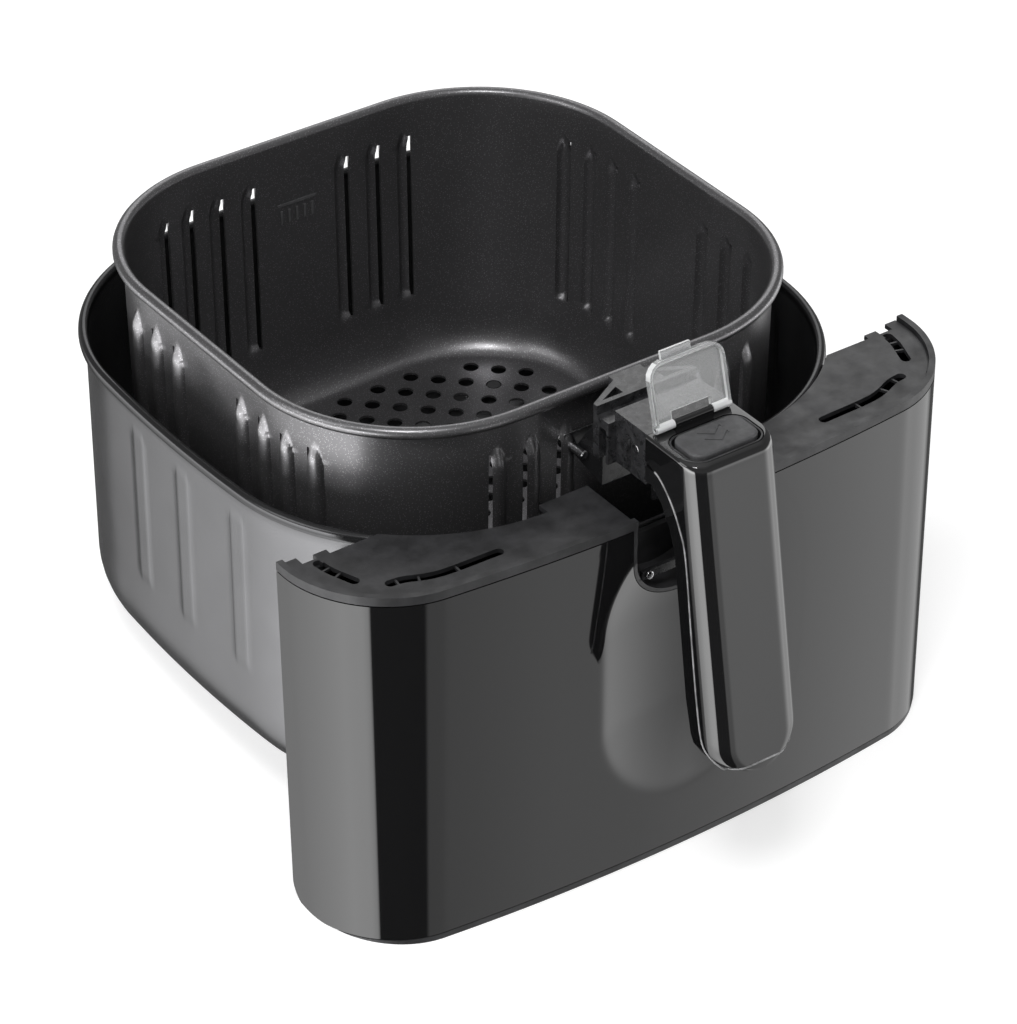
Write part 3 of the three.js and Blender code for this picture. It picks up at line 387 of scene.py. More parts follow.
def sheet_finish(colours):
    """Black-coated sheet steel. An attribute marks its cut edges, which are bare and bright."""
    tree = Tree("coated_sheet").set(IOR=1.6)
    edge = tree.nodes.new("ShaderNodeAttribute")
    edge.attribute_name = CUT_EDGE
    bare = edge.outputs["Fac"]
    tree.tint(bare, shade(colours.matte, 0.7), colours.steel)
    tree.drive("Metallic", bare)
    tree.drive("Roughness", tree.ramp(tree.noise(300, 3), 0.3, 0.7, 0.2, 0.3))
    tree.bump((tree.noise(700, 2), 0.1, 0.00006))
    return tree.material


def clear_finish(_colours):
    """Clear polished plastic with a trace of haze, paler at its rim."""
    tree = Tree("clear_plastic").set(Base_Color=(0.97, 0.98, 0.985), IOR=1.49)
    edge = tree.nodes.new("ShaderNodeAttribute")
    edge.attribute_name = CUT_EDGE
    # Painted highlight: rim faces get less transmission, so they read pale like lit clear edges.
    tree.drive("Transmission Weight", tree.ramp(edge.outputs["Fac"], 0, 1, 0.8, 0.2))
    tree.drive("Roughness", tree.ramp(tree.noise(180, 3), 0.35, 0.7, 0.03, 0.09))
    tree.bump((tree.noise(60, 2), 0.05, 0.0003))
    return tree.material


def silicone_finish(colours):
    """Matte silicone with a soft bloom."""
    tree = Tree("silicone_black").set(IOR=1.42, Sheen_Weight=0.15)
    tree.tint(tree.noise(400, 3), shade(colours.silicone, 0.8), shade(colours.silicone, 1.5))
    tree.drive("Roughness", tree.ramp(tree.noise(800, 2), 0.3, 0.7, 0.6, 0.8))
    tree.bump((tree.noise(2500, 2), 0.3, 0.00008))
    return tree.material


FINISHES = {
    "pan_coating": pan_finish,
    "basket_coating": basket_finish,
    "gloss_black": gloss_finish,
    "neck_black": neck_finish,
    "matte_black": matte_finish,
    "button_grey": button_finish,
    "seam_highlight_grey": seam_finish,
    "steel": steel_finish,
    "coated_sheet": sheet_finish,
    "clear_plastic": clear_finish,
    "silicone": silicone_finish,
}
CUT_EDGE = "cut_edge"
made_finishes = {}


def finish_of(context, name):
    """The finish of that name, made the first time it is asked for."""
    if name not in made_finishes:
        made_finishes[name] = FINISHES[name](context.scene.fryer_finish)
    return made_finishes[name]


# ---------------------------------------------------------------- meshes


def surface(name, points, close_columns=False, close_rows=False, left_out=None, end_caps=False):
    """A mesh over a grid of points, shaped (rows, columns, 3).

    Each cell is a quad between neighbouring rows and columns. A closed direction joins its last line to
    its first. Cells marked in left_out are holes. End caps are polygons over the first and last row.
    """
    rows, columns = points.shape[:2]
    row = np.arange(rows if close_rows else rows - 1)[:, None]
    column = np.arange(columns if close_columns else columns - 1)[None, :]
    below, beside = (row + 1) % rows, (column + 1) % columns
    corners = [row * columns + column, row * columns + beside]
    corners += [below * columns + beside, below * columns + column]
    quads = np.stack([np.broadcast_to(corner, (row.size, column.size)) for corner in corners], -1)
    quads = quads.reshape(-1, 4) if left_out is None else quads[~left_out]
    faces = quads.tolist()
    if end_caps:
        faces += [list(range(columns))[::-1], list(range((rows - 1) * columns, rows * columns))]
    mesh = bpy.data.meshes.new(name)
    mesh.from_pydata(points.reshape(-1, 3).tolist(), [], faces)
    mesh.update()
    return mesh


def tidied(mesh, merge=1e-6, outward=True):
    """Merges doubled points, drops unused ones and turns the faces outwards."""
    work = bmesh.new()
    work.from_mesh(mesh)
    bmesh.ops.remove_doubles(work, verts=work.verts, dist=merge)
    bmesh.ops.dissolve_degenerate(work, edges=work.edges, dist=merge / 10)
    loose = [vertex for vertex in work.verts if not vertex.link_faces]
    bmesh.ops.delete(work, geom=loose, context="VERTS")
    if outward:
        bmesh.ops.recalc_face_normals(work, faces=work.faces)
    work.to_mesh(mesh)
    work.free()
    mesh.update()
    return mesh


def shown(context, name, mesh, finish, body, nodes=(), sharp=35):
    """Puts a mesh in the scene as a finished piece on its body, in place of the packed nodes named."""
    piece = bpy.data.objects.new(name, mesh)
    context.scene.collection.objects.link(piece)
    mesh.materials.clear()
    mesh.materials.append(finish_of(context, finish))
    mesh.shade_smooth()
    mesh.set_sharp_from_angle(angle=math.radians(sharp))
    if nodes:
        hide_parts(*nodes)
    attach(piece, body)
    return piece


def worked(mesh, kind, **options):
    """A mesh with one modifier baked in. The mesh given is used up."""
    subject = bpy.data.objects.new("work", mesh)
    bpy.context.scene.collection.objects.link(subject)
    modifier = subject.modifiers.new("work", kind)
    for key, value in options.items():
        setattr(modifier, key, value)
    fresh = bpy.data.meshes.new_from_object(subject.evaluated_get(bpy.context.evaluated_depsgraph_get()))
    bpy.data.objects.remove(subject)
    bpy.data.meshes.remove(mesh)
    return fresh


def combined(mesh, others, operation="DIFFERENCE"):
    """Cuts meshes from a mesh, or joins them to it. All the meshes given are used up."""
    tools = bpy.data.collections.new("tools")
    for other in others:
        tools.objects.link(bpy.data.objects.new("tool", other))
    result = worked(
        mesh, "BOOLEAN", operation=operation, solver="EXACT", operand_type="COLLECTION", collection=tools
    )
    for tool in list(tools.objects):
        bpy.data.objects.remove(tool)
    bpy.data.collections.remove(tools)
    for other in others:
        bpy.data.meshes.remove(other)
    return tidied(result)


def joined(name, meshes):
    """Several meshes as one. The meshes given are used up."""
    work = bmesh.new()
    for mesh in meshes:
        work.from_mesh(mesh)
        bpy.data.meshes.remove(mesh)
    result = bpy.data.meshes.new(name)
    work.to_mesh(result)
    work.free()
    return result


def rounded(piece, width, segments=2, angle=38):
    """Adds a small rounded edge wherever two faces meet sharply."""
    modifier = piece.modifiers.new("edges", "BEVEL")
    modifier.width, modifier.segments = width, segments
    modifier.limit_method, modifier.angle_limit = "ANGLE", math.radians(angle)
    modifier.harden_normals = True


def solid_copy(node):
    """A copy of a packed node's mesh, its loose triangles merged and flat faces made whole."""
    mesh = frame["nodes"][node].data.copy()
    work = bmesh.new()
    work.from_mesh(mesh)
    bmesh.ops.remove_doubles(work, verts=work.verts, dist=2e-6)
    flat = math.radians(0.6)
    bmesh.ops.dissolve_limit(work, angle_limit=flat, verts=work.verts, edges=work.edges, delimit={"NORMAL"})
    work.to_mesh(mesh)
    work.free()
    return mesh


def box_mesh(low, high):
    """A box between two corners."""
    base = np.array([(low[0], low[1]), (high[0], low[1]), (high[0], high[1]), (low[0], high[1])])
    return prism_mesh(base, low[2], high[2])


def prism_mesh(outline, low, high, axis=2):
    """A flat outline carried along an axis between two places, closed at both ends."""
    rings = np.stack([np.insert(outline, axis, place, axis=1) for place in (low, high)])
    return tidied(surface("prism", rings, close_columns=True, end_caps=True))


def rod_mesh(centre, radius, low, high, axis=1, sides=32):
    """A round bar along an axis. The centre gives its place on the other two axes."""
    return prism_mesh(arc_points(centre, radius, 0, 360, sides + 1)[:-1], low, high, axis)


# ---------------------------------------------------------------- outlines


def arc_points(centre, radius, start, end, steps):
    """Points round a circle: centre + radius (cos a, sin a), the angle in degrees."""
    angle = np.radians(np.linspace(start, end, steps))
    return np.c_[centre[0] + radius * np.cos(angle), centre[1] + radius * np.sin(angle)]


class Outline:
    """A closed plan curve read by its running length, with its outward normal.

    It starts at the middle of the back and runs clockwise seen from above: back, right, front, left. Each
    quarter is half a side, which swells by the bow, then a corner arc, then half of the next side.
    """

    def __init__(self, half_x, half_y, corner, bow=0.0, centre_y=0.0):
        """Works out the curve's points, its normals and their running lengths."""
        quarter = self.quarter(half_x, half_y, corner, bow)
        turned = [quarter * (1, 1), quarter[::-1] * (1, -1), quarter * (-1, -1), quarter[::-1] * (-1, 1)]
        points = np.vstack([part[:-1] for part in turned]) + (0, centre_y)
        step = np.roll(points, -1, 0) - np.roll(points, 1, 0)
        step /= np.linalg.norm(step, axis=1)[:, None]
        spans = np.linalg.norm(np.roll(points, -1, 0) - points, axis=1)
        self.run = np.r_[0, np.cumsum(spans)]
        self.length = self.run[-1]
        normals = np.c_[-step[:, 1], step[:, 0]]
        self.values = np.vstack([np.c_[points, normals], np.c_[points, normals][:1]])

    @staticmethod
    def quarter(half_x, half_y, corner, bow, steps=160):
        """Points from the middle of the back to the middle of the right side."""
        centre = np.array([half_x - corner - bow, half_y - corner - bow])
        if not bow:
            side = np.linspace([0, half_y], [centre[0], half_y], steps, endpoint=False)
            other = np.linspace([half_x, centre[1]], [half_x, 0], steps)
            return np.vstack([side, arc_points(centre, corner, 90, 0, steps)[:-1], other])
        back = ((corner + bow) ** 2 + centre[0] ** 2 - corner**2) / (2 * bow)
        right = ((corner + bow) ** 2 + centre[1] ** 2 - corner**2) / (2 * bow)
        back_turn = math.degrees(math.atan2(centre[0], back - corner - bow))
        right_turn = math.degrees(math.atan2(centre[1], right - corner - bow))
        return np.vstack(
            [
                arc_points((0, half_y - back), back, 90, 90 - back_turn, steps)[:-1],
                arc_points(centre, corner, 90 - back_turn, right_turn, steps)[:-1],
                arc_points((half_x - right, 0), right, right_turn, 0, steps),
            ]
        )

    def at(self, run):
        """Points and outward normals at running lengths, for arrays of any shape."""
        run = np.mod(run, self.length)
        point = np.stack([np.interp(run, self.run, self.values[:, axis]) for axis in range(4)], -1)
        normal = point[..., 2:] / np.linalg.norm(point[..., 2:], axis=-1, keepdims=True)
        return point[..., :2], normal


def smooth_step(value):
    """0 below 0, 1 above 1, and an even S between: t squared times (3 - 2t)."""
    value = np.clip(value, 0, 1)
    return value * value * (3 - 2 * value)


def filled(stops, step):
    """Sorted places with every gap wider than the step split evenly."""
    stops = np.unique(np.round(stops, 9))
    spans = [
        np.linspace(start, end, max(1, math.ceil((end - start) / step)), endpoint=False)
        for start, end in zip(stops[:-1], stops[1:])
    ]
    return np.concatenate([*spans, stops[-1:]])


def smooth_path(points, steps):
    """A smooth line through points: each span is a Catmull-Rom cubic through its four neighbours."""
    points = np.asarray(points, float)
    padded = np.vstack([2 * points[0] - points[1], points, 2 * points[-1] - points[-2]])
    before, start, end, after = padded[:-3], padded[1:-2], padded[2:-1], padded[3:]
    share = np.linspace(0, 1, steps, endpoint=False)[None, :, None]
    before, start, end, after = (part[:, None, :] for part in (before, start, end, after))
    line = 0.5 * (
        2 * start
        + (end - before) * share
        + (2 * before - 5 * start + 4 * end - after) * share**2
        + (3 * start - before - 3 * end + after) * share**3
    )
    return np.vstack([line.reshape(-1, points.shape[1]), points[-1:]])


def swept(outline, runs, profile, push=0.0):
    """Points of a profile carried round an outline: outline(run) + (push - inset) times its normal.

    The profile's rows are (inset, height). The push may change with row and column.
    """
    place, normal = outline.at(runs)
    outward = np.broadcast_to(push, (len(profile), len(runs))) - profile[:, :1]
    plan = place[None] + outward[..., None] * normal[None]
    height = np.broadcast_to(profile[:, 1:2], outward.shape)
    return np.dstack([plan, height])


# ---------------------------------------------------------------- the pan


def pan_outline(settings):
    """The outer edge of the pan's rim, a hair inside the packed one."""
    inside = 0.02 * MM
    return Outline(PAN_HIGH[0] - inside, PAN_HIGH[1] - inside, settings.corner, settings.bow)


def pan_profile(settings):
    """The pan's section as (inset, height) rows: floor, outside, rim, inside, floor.

    The rim is a smooth bead drawn through points over the wall's top.
    """
    lip, wall, top = settings.lip, settings.wall, PAN_HIGH[2]
    under = top - settings.lip_depth
    step = 5 * MM
    stops = [settings.floor_radius, settings.rib_low, settings.rib_high, under - lip]
    heights = filled(np.array(stops), step)
    tips = settings.rib_low, settings.rib_high - 2 * MM
    ends = np.concatenate([place + np.linspace(-6, 8, 8) * MM for place in tips])
    heights = filled(np.r_[heights, ends[ends < under - lip]], step)

    def side(inset, radius, low):
        """One side of the sheet: a quarter circle from the floor, then the upright wall."""
        cove = arc_points((inset + radius, low + radius), radius, 270, 180, 14)
        return np.vstack([cove[:-1], np.c_[np.full(len(heights), inset), heights]])

    bead = smooth_path(
        [
            (lip, under - lip),
            (lip - 0.35 * MM, under - 0.9 * MM),
            (lip - 1.5 * MM, under + 0.05 * MM),
            (0.25 * MM, under + 0.8 * MM),
            (0, top - settings.lip_depth / 2),
            (0.5 * MM, top - 0.7 * MM),
            (2 * MM, top),
            (lip + 0.55 * wall, top - 0.7 * MM),
            (lip + wall, top - settings.lip_depth / 2),
            (lip + wall, under - lip),
        ],
        4,
    )
    outside = side(lip, settings.floor_radius, 0)
    inside = side(lip + wall, settings.floor_radius - wall, wall)
    return np.vstack([outside[:-1], bead, inside[::-1][1:]])


RIBS = np.array([25, -6.5, -42]) * MM  # places along each side wall, from its middle


def pan_ribs(outline):
    """Running places of the ribs pressed in the side walls, each with the side its sharp edge is on."""
    quarter = outline.length / 4
    return [(quarter - place, 1) for place in RIBS] + [(3 * quarter + place, -1) for place in RIBS]


def build_pan(context):
    """The pan: its section carried round the rim's outline, with ribs pressed out of the sides."""
    settings = context.scene.fryer_pan
    outline = pan_outline(settings)
    half, soft = settings.rib_half, 0.14  # a rib's side rises over this share of its half width
    across = np.array([-1, -0.93, -0.86, -0.5, 0, 0.5, 0.86, 0.93, 1.0])
    ribs = pan_ribs(outline)
    lines = [place + facing * across * half for place, facing in ribs]
    runs = filled(np.concatenate([[0, outline.length], *lines]), 3 * MM)[:-1]
    profile = pan_profile(settings)
    inset, height = profile[:, :1], profile[:, 1:2]
    on_wall = (inset > settings.lip - 0.1 * MM) & (height > settings.floor_radius)
    push = np.zeros((len(profile), len(runs)))
    for place, facing in ribs:
        across = facing * (runs - place) / half
        tip = settings.rib_high - 3 * MM * across**6
        ends = smooth_step((height - settings.rib_low) / (3 * MM)) * smooth_step((tip - height) / (1.5 * MM))
        push += settings.rib_depth * smooth_step((1 - np.abs(across)) / soft) * ends * on_wall
    mesh = tidied(surface("pan", swept(outline, runs, profile, push), close_columns=True, end_caps=True))
    before, within, bore = RIM_FRONT - 10 * MM, RIM_FRONT / 2, 2 * MM
    gate = box_mesh(
        (-settings.gate_half, before, PAN_HIGH[2] - settings.gate_depth),
        (settings.gate_half, within, PAN_HIGH[2] + 10 * MM),
    )
    bores = [
        rod_mesh(((low[0] + high[0]) / 2, (low[2] + high[2]) / 2), bore, before, within)
        for low, high in (BOX[name] for name in BOX if name.startswith("pan_screw"))
    ]
    mesh = combined(mesh, [gate, *bores])
    shown(context, "outer_pan", mesh, "pan_coating", "drawer", ("pan",), sharp=32)


# ---------------------------------------------------------------- the basket

LOUVRES = np.array([-63.5, -49.2, -34.9, -20.3, 23.5, 38.4, 53.6]) * MM  # places along each wall
FREE_FRONT = 22.2 * MM  # half width of the middle of the front, which has none


def louvre_places(outline):
    """Running places of the slits: the same row on each wall, less the middle of the front."""
    quarter = outline.length / 4
    rows = [LOUVRES, LOUVRES, LOUVRES[np.abs(LOUVRES) > FREE_FRONT], LOUVRES]
    return np.concatenate([wall * quarter + row for wall, row in enumerate(rows)]) % outline.length


def basket_profile(settings):
    """The basket's middle surface as (inset, height) rows: curled rim, leaning wall, elliptic cove."""
    roll = settings.curl - settings.wall / 2
    top = BASKET_HIGH[2] - settings.curl
    floor = BASKET_LOW[2] + settings.wall / 2
    radius = np.array([settings.cove, settings.cove_rise]) + settings.wall / 2
    curl = arc_points((0, top), roll, -115, 180, 15)
    curl[:, 0] = settings.curl - curl[:, 0]
    low, high = settings.louvre_low + LIFT, settings.louvre_high + LIFT
    ends = [low + np.linspace(-1, 6, 7) * MM, high - np.linspace(-1, 15, 15) * MM]
    heights = filled(np.concatenate([[floor + radius[1], top], *ends]), 6 * MM)[::-1]
    lean = settings.draft * (top - heights) / (top - floor - radius[1])
    wall = np.c_[settings.curl + roll + lean, heights]
    foot = wall[-1, 0]
    cove = (foot, floor) + radius * (1 + arc_points((0, 0), 1, 180, 270, 17))
    return np.vstack([curl[:-1], wall, cove[1:]])


def floor_vents(settings):
    """Centres of the floor's holes: a square lattice turned by 45 degrees, kept inside a blunt rectangle."""
    half, margin, blunt, most = settings.pitch / 2, 18.7 * MM, 143 * MM, 14
    middle = (BASKET_LOW[1] + BASKET_HIGH[1]) / 2 + 0.85 * MM
    column, row = np.meshgrid(np.arange(-most, most + 1), np.arange(-most, most + 1))
    x, depth = column * half, (row + 0.5) * half
    reach = BASKET_HIGH[0] - margin, (BASKET_HIGH[1] - BASKET_LOW[1]) / 2 - margin
    inside = (abs(x) < reach[0]) & (abs(depth) < reach[1]) & (abs(x) + abs(depth) < blunt)
    kept = inside & ((column + row) % 2 != 0)
    return np.c_[x[kept], depth[kept] + middle]


def perforated(edge, centres, radius, sides, height):
    """A flat sheet inside a closed edge, with round holes, as vertices and faces.

    It is a triangulation that keeps the edge and every circle. Triangles inside a circle are left out, and
    so is a hole that would cross the edge. The edge swells by 1 + swell (1 - (reach / furthest)^2) while it
    is worked out, so that no three of its points are in line.
    """
    clearance, swell, exact = 1.1, 0.004, 1e-7
    apart = np.linalg.norm(centres[:, None] - edge[None], axis=2).min(1)
    centres = centres[apart > clearance * radius]
    ring = arc_points((0, 0), radius, 0, 360, sides + 1)[:-1]
    circles = (centres[:, None] + ring[None]).reshape(-1, 2)
    points = np.vstack([edge, circles])
    loops = [list(range(len(edge)))[::-1]]  # the outline runs clockwise, and a filled loop runs the other way
    loops += [list(range(start, start + sides)) for start in range(len(edge), len(points), sides)]
    middle = edge.mean(0)
    reach = np.linalg.norm(edge - middle, axis=1)[:, None]
    swollen = middle + (edge - middle) * (1 + swell - swell * (reach / reach.max()) ** 2)
    places = [Vector(point) for point in [*swollen.tolist(), *circles.tolist()]]
    _, _, triangles, _, _, sources = delaunay_2d_cdt(places, [], loops, 1, exact, True)
    kept = [triangle for triangle, source in zip(triangles, sources) if len(source) == 1]
    return np.c_[points, np.full(len(points), height)].tolist(), kept


def build_basket(context):
    """The basket: curled rim, leaning walls with pressed louvres, and a perforated floor.

    A louvre is a dome across its width, (1 - across^2)^0.75, that narrows to a point at the top. Its slit
    is the last part of the width.
    """
    settings = context.scene.fryer_basket
    middle_y = (BASKET_LOW[1] + BASKET_HIGH[1]) / 2
    outline = Outline(BASKET_HIGH[0], BASKET_HIGH[1] - middle_y, settings.corner, 0, middle_y)
    width = settings.louvre_width
    places = louvre_places(outline)
    cut = 1 - settings.slit / width
    shares = np.array([0, 0.09, 0.2, 0.32, 0.44, 0.55, 0.65, cut, (1 + cut) / 2, 1])
    starts = places + settings.slit / 2 - width
    lines = (starts[:, None] + shares * width).ravel() % outline.length
    runs = filled(np.concatenate([[0, outline.length], lines]), 4 * MM)[:-1]
    profile = basket_profile(settings)
    height = profile[:, 1:2]
    low, high = settings.louvre_low + LIFT, settings.louvre_high + LIFT
    tip, fall, rise = 13 * MM, 9 * MM, 4 * MM
    narrowest, hair = 0.05, 1e-6
    taper = 1 - np.clip((height - high + tip) / tip, 0, 1) ** 2
    ends = smooth_step((high - height) / fall) * smooth_step((height - low) / rise)
    push = np.zeros((len(profile), len(runs)))
    open_cell = np.zeros((len(profile) - 1, len(runs)), bool)
    tall = (height[:-1, 0] < high - 2.5 * MM) & (height[1:, 0] > low + 1 * MM)
    tall &= profile[1:, 0] > settings.curl
    for start in starts:
        share = ((runs - start + outline.length / 2) % outline.length - outline.length / 2) / width
        across = (2 * share - 1)[None, :] / np.maximum(taper, narrowest)
        dome = np.clip(1 - across**2, 0, 1) ** 0.75
        push += settings.louvre_depth * ends * dome
        slit = (share > cut - hair) & (share < 1 - hair)
        open_cell |= tall[:, None] & slit[None, :]
    points = swept(outline, runs, profile, push)
    wall = surface("basket", points, close_columns=True, left_out=open_cell)
    vertices, faces = perforated(
        points[-1, :, :2], floor_vents(settings), settings.hole, settings.hole_sides, points[-1, 0, 2]
    )
    floor = bpy.data.meshes.new("floor")
    floor.from_pydata(vertices, [], faces)
    sheet = tidied(joined("basket", [wall, floor]), 5e-6)
    mesh = worked(sheet, "SOLIDIFY", thickness=settings.wall, offset=0, use_quality_normals=True)
    shown(context, "lift_out_basket", tidied(mesh), "basket_coating", "basket", ("basket",), sharp=38)


def build_fill_mark(context):
    """A plain fill line pressed on the back wall inside the basket: a bar over a row of short ticks."""
    settings = context.scene.fryer_basket
    centre, half_bar, half_tick, pitch = -1 * MM, 9 * MM, 0.5, 3.6
    bar, tick = (98 * MM, 99.1 * MM), (90 * MM, 96 * MM)
    bars = [(centre - half_bar, centre + half_bar, *bar)]
    for place in pitch * np.arange(-2, 3):
        bars.append((centre + (place - half_tick) * MM, centre + (place + half_tick) * MM, *tick))
    top = BASKET_HIGH[2] - settings.curl
    tall = top - BASKET_LOW[2] - settings.cove_rise - settings.wall

    def section(depth, height):
        """A corner of a bar's section, at a depth in the leaning wall."""
        inset = 2 * settings.curl + settings.draft * (top - height) / tall
        return BASKET_HIGH[1] - inset + depth, height

    proud, sunk = -0.4 * MM, 0.3 * MM
    meshes = []
    for left, right, low, high in bars:
        low, high = low + LIFT, high + LIFT
        face = [section(proud, low), section(sunk, low), section(sunk, high), section(proud, high)]
        meshes.append(prism_mesh(np.array(face), left, right, axis=0))
    shown(context, "fill_mark", joined("mark", meshes), "button_grey", "basket")


# ---------------------------------------------------------------- the front


def front_curve(settings, heights, inset, shares, steps=36):
    """The front's plan curve at each height, as (heights, columns, 2).

    Two corner arcs joined by a line, then every point moves forward by bow (1 - (x / half)^2). The half
    width and the corner radius change evenly with height. Shares place the middle columns on the line.
    """
    heights = np.asarray(heights, float)[:, None]
    rise = (heights - TRIM_LOW[2]) / (PANEL_HIGH[2] - TRIM_LOW[2])
    half = settings.half_low + (PANEL_HIGH[0] - settings.half_low) * rise
    corner = settings.corner_low + (settings.corner_top - settings.corner_low) * rise
    bend_x, bend_y = half - corner, settings.line + corner
    turn = np.radians(np.linspace(180, 270, steps))[None]
    radius = corner - inset
    left = -bend_x + radius * np.cos(turn), bend_y + radius * np.sin(turn)
    middle_x = bend_x * np.asarray(shares)[None]
    middle_y = np.full(middle_x.shape, settings.line + inset)
    x = np.hstack([left[0], middle_x, -left[0][:, ::-1]])
    y = np.hstack([left[1], middle_y, left[1][:, ::-1]]) - settings.bow * (1 - (x / half) ** 2)
    end = np.full_like(half, PANEL_HIGH[1])
    x = np.hstack([-(half - inset), x, half - inset])
    y = np.hstack([end, y, end])
    return np.dstack([x, y])


EVEN = np.linspace(-0.96, 0.96, 49)  # shares of the front's line, evenly spaced


def scoop_face(settings, x, z):
    """The finger recess: the back of an upright round-ended bar, y = axis + root(R^2 - x^2 - d^2).

    The bar's axis runs between two heights, and d is how far a point lies above or below them.
    """
    half, depth = settings.scoop_half, settings.scoop_depth
    radius = (half**2 + depth**2) / (2 * depth)
    axis = settings.line - settings.bow + depth - radius
    low, high = settings.scoop_low + half, settings.scoop_high - half
    past = np.maximum(z - high, 0) + np.maximum(low - z, 0)
    return axis + np.sqrt(np.maximum(radius**2 - x**2 - past**2, 0))


def notch_outline(settings, half, top):
    """The notch's (x, z) outline: a half circle below two upright sides."""
    bowl = arc_points((0, settings.notch_centre), half, 180, 360, 49)
    return np.vstack([bowl, [(half, top), (-half, top)]])


def heel_mesh(settings):
    """A cutter that rounds the front's lower rear corners: the outside of a quarter circle, along X."""
    radius, low, back = settings.heel, PANEL_LOW[2], PANEL_HIGH[1]
    arc = arc_points((back - radius, low + radius), radius, -90, 0, 13)
    under = [(back + 5 * MM, low + radius), (back + 5 * MM, low - 9 * MM), (back - radius, low - 9 * MM)]
    return prism_mesh(np.vstack([arc, under]), -FAR, FAR, axis=0)


def build_panel(context):
    """The glossy panel: the front curve pushed back by the finger recess, with a notch for the neck.

    The recess meets the curve with a soft maximum: half of (a + b + root((a - b)^2 + k^2)).
    """
    settings = context.scene.fryer_front
    rows, clear, past = 104, 6 * MM, 9 * MM
    heights = np.linspace(PANEL_LOW[2], PANEL_HIGH[2], rows)
    line = PANEL_HIGH[0] - settings.corner_top
    reach = 0.98 * line
    fine = 58  # columns are a millimetre apart within this of the middle
    columns = filled(np.array([-reach, -fine * MM, fine * MM, reach]), 3 * MM)
    columns = np.r_[columns[np.abs(columns) > fine * MM], np.linspace(-fine, fine, 2 * fine + 1) * MM]
    plan = front_curve(settings, heights, 0, np.sort(columns) / line)
    x, z = plan[..., 0], np.broadcast_to(heights[:, None], plan.shape[:2])
    recess = scoop_face(settings, x, z)
    apart = plan[..., 1] - recess
    y = (plan[..., 1] + recess + np.sqrt(apart**2 + settings.scoop_blend**2)) / 2
    y = np.where(apart > clear, plan[..., 1], y)
    skin = surface("panel", np.dstack([x, y, z]))
    if skin.polygons[len(skin.polygons) // 2].normal.y > 0:
        skin.flip_normals()
    panel = worked(skin, "SOLIDIFY", thickness=settings.wall, offset=-1, use_even_offset=True)
    notch = notch_outline(settings, settings.notch_half, PANEL_HIGH[2] + past)
    room = prism_mesh(notch, PANEL_LOW[1] - past, -0.12, axis=1)
    panel = combined(tidied(panel), [room, heel_mesh(settings)])
    piece = shown(context, "gloss_front", panel, "gloss_black", "drawer", ("front_panel",), sharp=30)
    rounded(piece, settings.edge)


def slot_meshes(low, high):
    """Cutters for the ledge's slots, and the thin webs across them: round-ended bars along smooth paths."""
    right, front = PAN_HIGH[0], RIM_FRONT
    long_slot = [
        (right - 0.013, front - 0.0029),
        (right - 0.018, front - 0.0037),
        (right - 0.0305, front - 0.008),
        (right - 0.0545, front - 0.0091),
    ]
    short_slot = [
        (right + 0.0009, front + 0.0214),
        (right - 0.0001, front + 0.0155),
        (right - 0.0036, front + 0.0056),
    ]
    half_slot, half_turn, end_steps = 2 * MM, 80, 11
    half_web, web_reach = 0.2, 1.4  # in half widths of a slot
    cutters, webs = [], []
    for side in (-1, 1):
        for path, places in ((long_slot, (4, 9, 14)), (short_slot, (4, 8))):
            path = smooth_path(path, 6) * (side, 1)
            step = np.gradient(path, axis=0)
            normal = np.c_[-step[:, 1], step[:, 0]] / np.linalg.norm(step, axis=1)[:, None] * half_slot
            turn = math.degrees(math.atan2(step[-1, 1], step[-1, 0]))
            back = math.degrees(math.atan2(-step[0, 1], -step[0, 0]))
            far = arc_points(path[-1], half_slot, turn + half_turn, turn - half_turn, end_steps)
            near = arc_points(path[0], half_slot, back + half_turn, back - half_turn, end_steps)
            rim = np.vstack([path + normal, far, (path - normal)[::-1], near])
            cutters.append(prism_mesh(rim, *LEDGE_SPAN))
            along = half_web * np.c_[normal[:, 1], -normal[:, 0]]
            for place in places:
                middle, over, beside = path[place], web_reach * normal[place], along[place]
                ends = [middle + over + beside, middle - over + beside]
                ends += [middle - over - beside, middle + over - beside]
                webs.append(prism_mesh(np.array(ends), low, high))
    return cutters, webs


def paired_boxes(inner, outer, low, high):
    """A box on each side of the middle, between two distances from it. Low and high are (y, z)."""
    spans = [sorted((side * inner, side * outer)) for side in (-1, 1)]
    return [box_mesh((left, *low), (right, *high)) for left, right in spans]


def liner_mesh(settings, half, high):
    """The notch's liner: a channel round the notch, cut off in front by the finger recess."""
    foot, top, ahead = 0.08, 0.135, -0.19
    x, z = np.meshgrid(np.linspace(-30, 30, 61) * MM, np.linspace(foot, top, 45))
    face = np.dstack([x, scoop_face(settings, x, z), z])
    before = np.dstack([x[:, [-1, 0]], np.full((len(z), 2), ahead), z[:, :2]])
    scoop = surface("scoop", np.hstack([face, before]), close_columns=True, end_caps=True)
    front, back, wall, past = RIM_FRONT - 24 * MM, RIM_FRONT - 2.1 * MM, 1.5 * MM, 9 * MM
    liner = prism_mesh(notch_outline(settings, half + wall, high), front, back, axis=1)
    inside = prism_mesh(notch_outline(settings, half, high + past), front - past, back + past, axis=1)
    return combined(liner, [inside, tidied(scoop)])


AROUND_PAN = np.linspace(0, 1, 361)[:-1]  # shares of the pan's outline, for cutters that follow it


